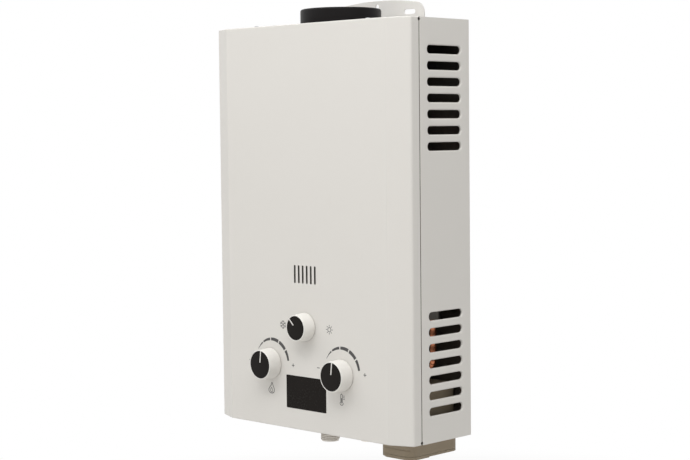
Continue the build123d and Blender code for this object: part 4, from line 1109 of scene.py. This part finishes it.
WORLD_LIGHT = 0.33
world = bpy.data.worlds.new("studio")
world.use_nodes = True
scene.world = world
sky = Board(world.node_tree)
white = sky.add("ShaderNodeBackground", {"Color": (1, 1, 1, 1), "Strength": 1.0})
soft = sky.add("ShaderNodeBackground", {"Color": (1, 1, 1, 1), "Strength": WORLD_LIGHT})
both = sky.add("ShaderNodeMixShader", {0: seen_straight(sky), 1: soft, 2: white})
sky.feed(sky.tree.nodes["World Output"].inputs["Surface"], both)
print("world lights at", WORLD_LIGHT)

# %% [markdown]
# The floor lies well below the heater. Under it the floor is pale and matt and takes the shadow, and
# further out it melts into the white of the world, so that no horizon shows. A ring of distance round the
# middle mixes the two shaders. Mirror rays see it mostly white, which keeps the metal under the case bright.

# %% Floor
FLOOR_DROP, FADE_START, FADE_END, MIRRORED_WHITE = 0.2, 0.35, 0.95, 0.7
floor_form = bmesh.new()
bmesh.ops.create_grid(floor_form, x_segments=8, y_segments=8, size=30)
bmesh.ops.translate(floor_form, verts=floor_form.verts, vec=(0, 0, cad_box[0][2] - FLOOR_DROP))
floor = placed("floor", settled(floor_form))

matt = Finish("pale_floor")
sideways = matt.add("ShaderNodeSeparateXYZ", {0: matt.place}, output="X")
lengthways = matt.add("ShaderNodeSeparateXYZ", {0: matt.place}, output="Y")
reach = (sideways * sideways + lengthways * lengthways) ** 0.5
fade = {0: reach, 1: FADE_START, 2: FADE_END}
far = matt.add("ShaderNodeMapRange", fade, {"interpolation_type": "SMOOTHSTEP"})
speck = matt.grain(300.0, 3.0)
tone = matt.mix(speck, (236, 235, 233), (232, 231, 229))
matt.set(Base_Color=tone, Roughness=0.8 + speck * 0.1)
glow = matt.add("ShaderNodeEmission", {"Color": (1, 1, 1, 1), "Strength": 1.0})
plain = Tap(matt, matt.shader.outputs[0])
mirrored = matt.add("ShaderNodeLightPath", output="Is Glossy Ray")
share = matt.add("ShaderNodeClamp", {"Value": far * seen_straight(matt) + mirrored * MIRRORED_WHITE})
surface = matt.add("ShaderNodeMixShader", {0: share, 1: plain, 2: glow})
matt.feed(matt.tree.nodes["Material Output"].inputs["Surface"], surface)
floor.data.materials.append(matt.material)
print("floor at", round(cad_box[0][2] - FLOOR_DROP, 3))

# %% [markdown]
# Three soft boxes light the case, as in a product studio. The key stands high on the left, so that the
# front and both facets get nearly the same light. The next hangs steeply above the right side: it grazes
# that side, which stays darker than the front, but meets every lip and ledge that faces up. A small one in
# front draws the short shadows under the knobs. Area lights are used because their size softens a shadow.

# %% Lights
soft_boxes = {
    "key": ((-1.1, -1.17, 1.32), 2.0, 20.5),
    "side": ((0.94, -0.73, 1.28), 1.6, 23.0),
    "front": ((0.12, -1.2, 1.1), 0.5, 5.4),
}
for name, (place, size, watts) in soft_boxes.items():
    lamp = bpy.data.lights.new(name, "AREA")
    lamp.size = size
    lamp.energy = watts
    holder = placed(name, lamp)
    holder.location = place
    aim = spot(0, 50, CASE_HEIGHT / 2) - holder.location
    holder.rotation_euler = aim.to_track_quat("-Z", "Y").to_euler()
    print("light", name, "with", watts, "watts")
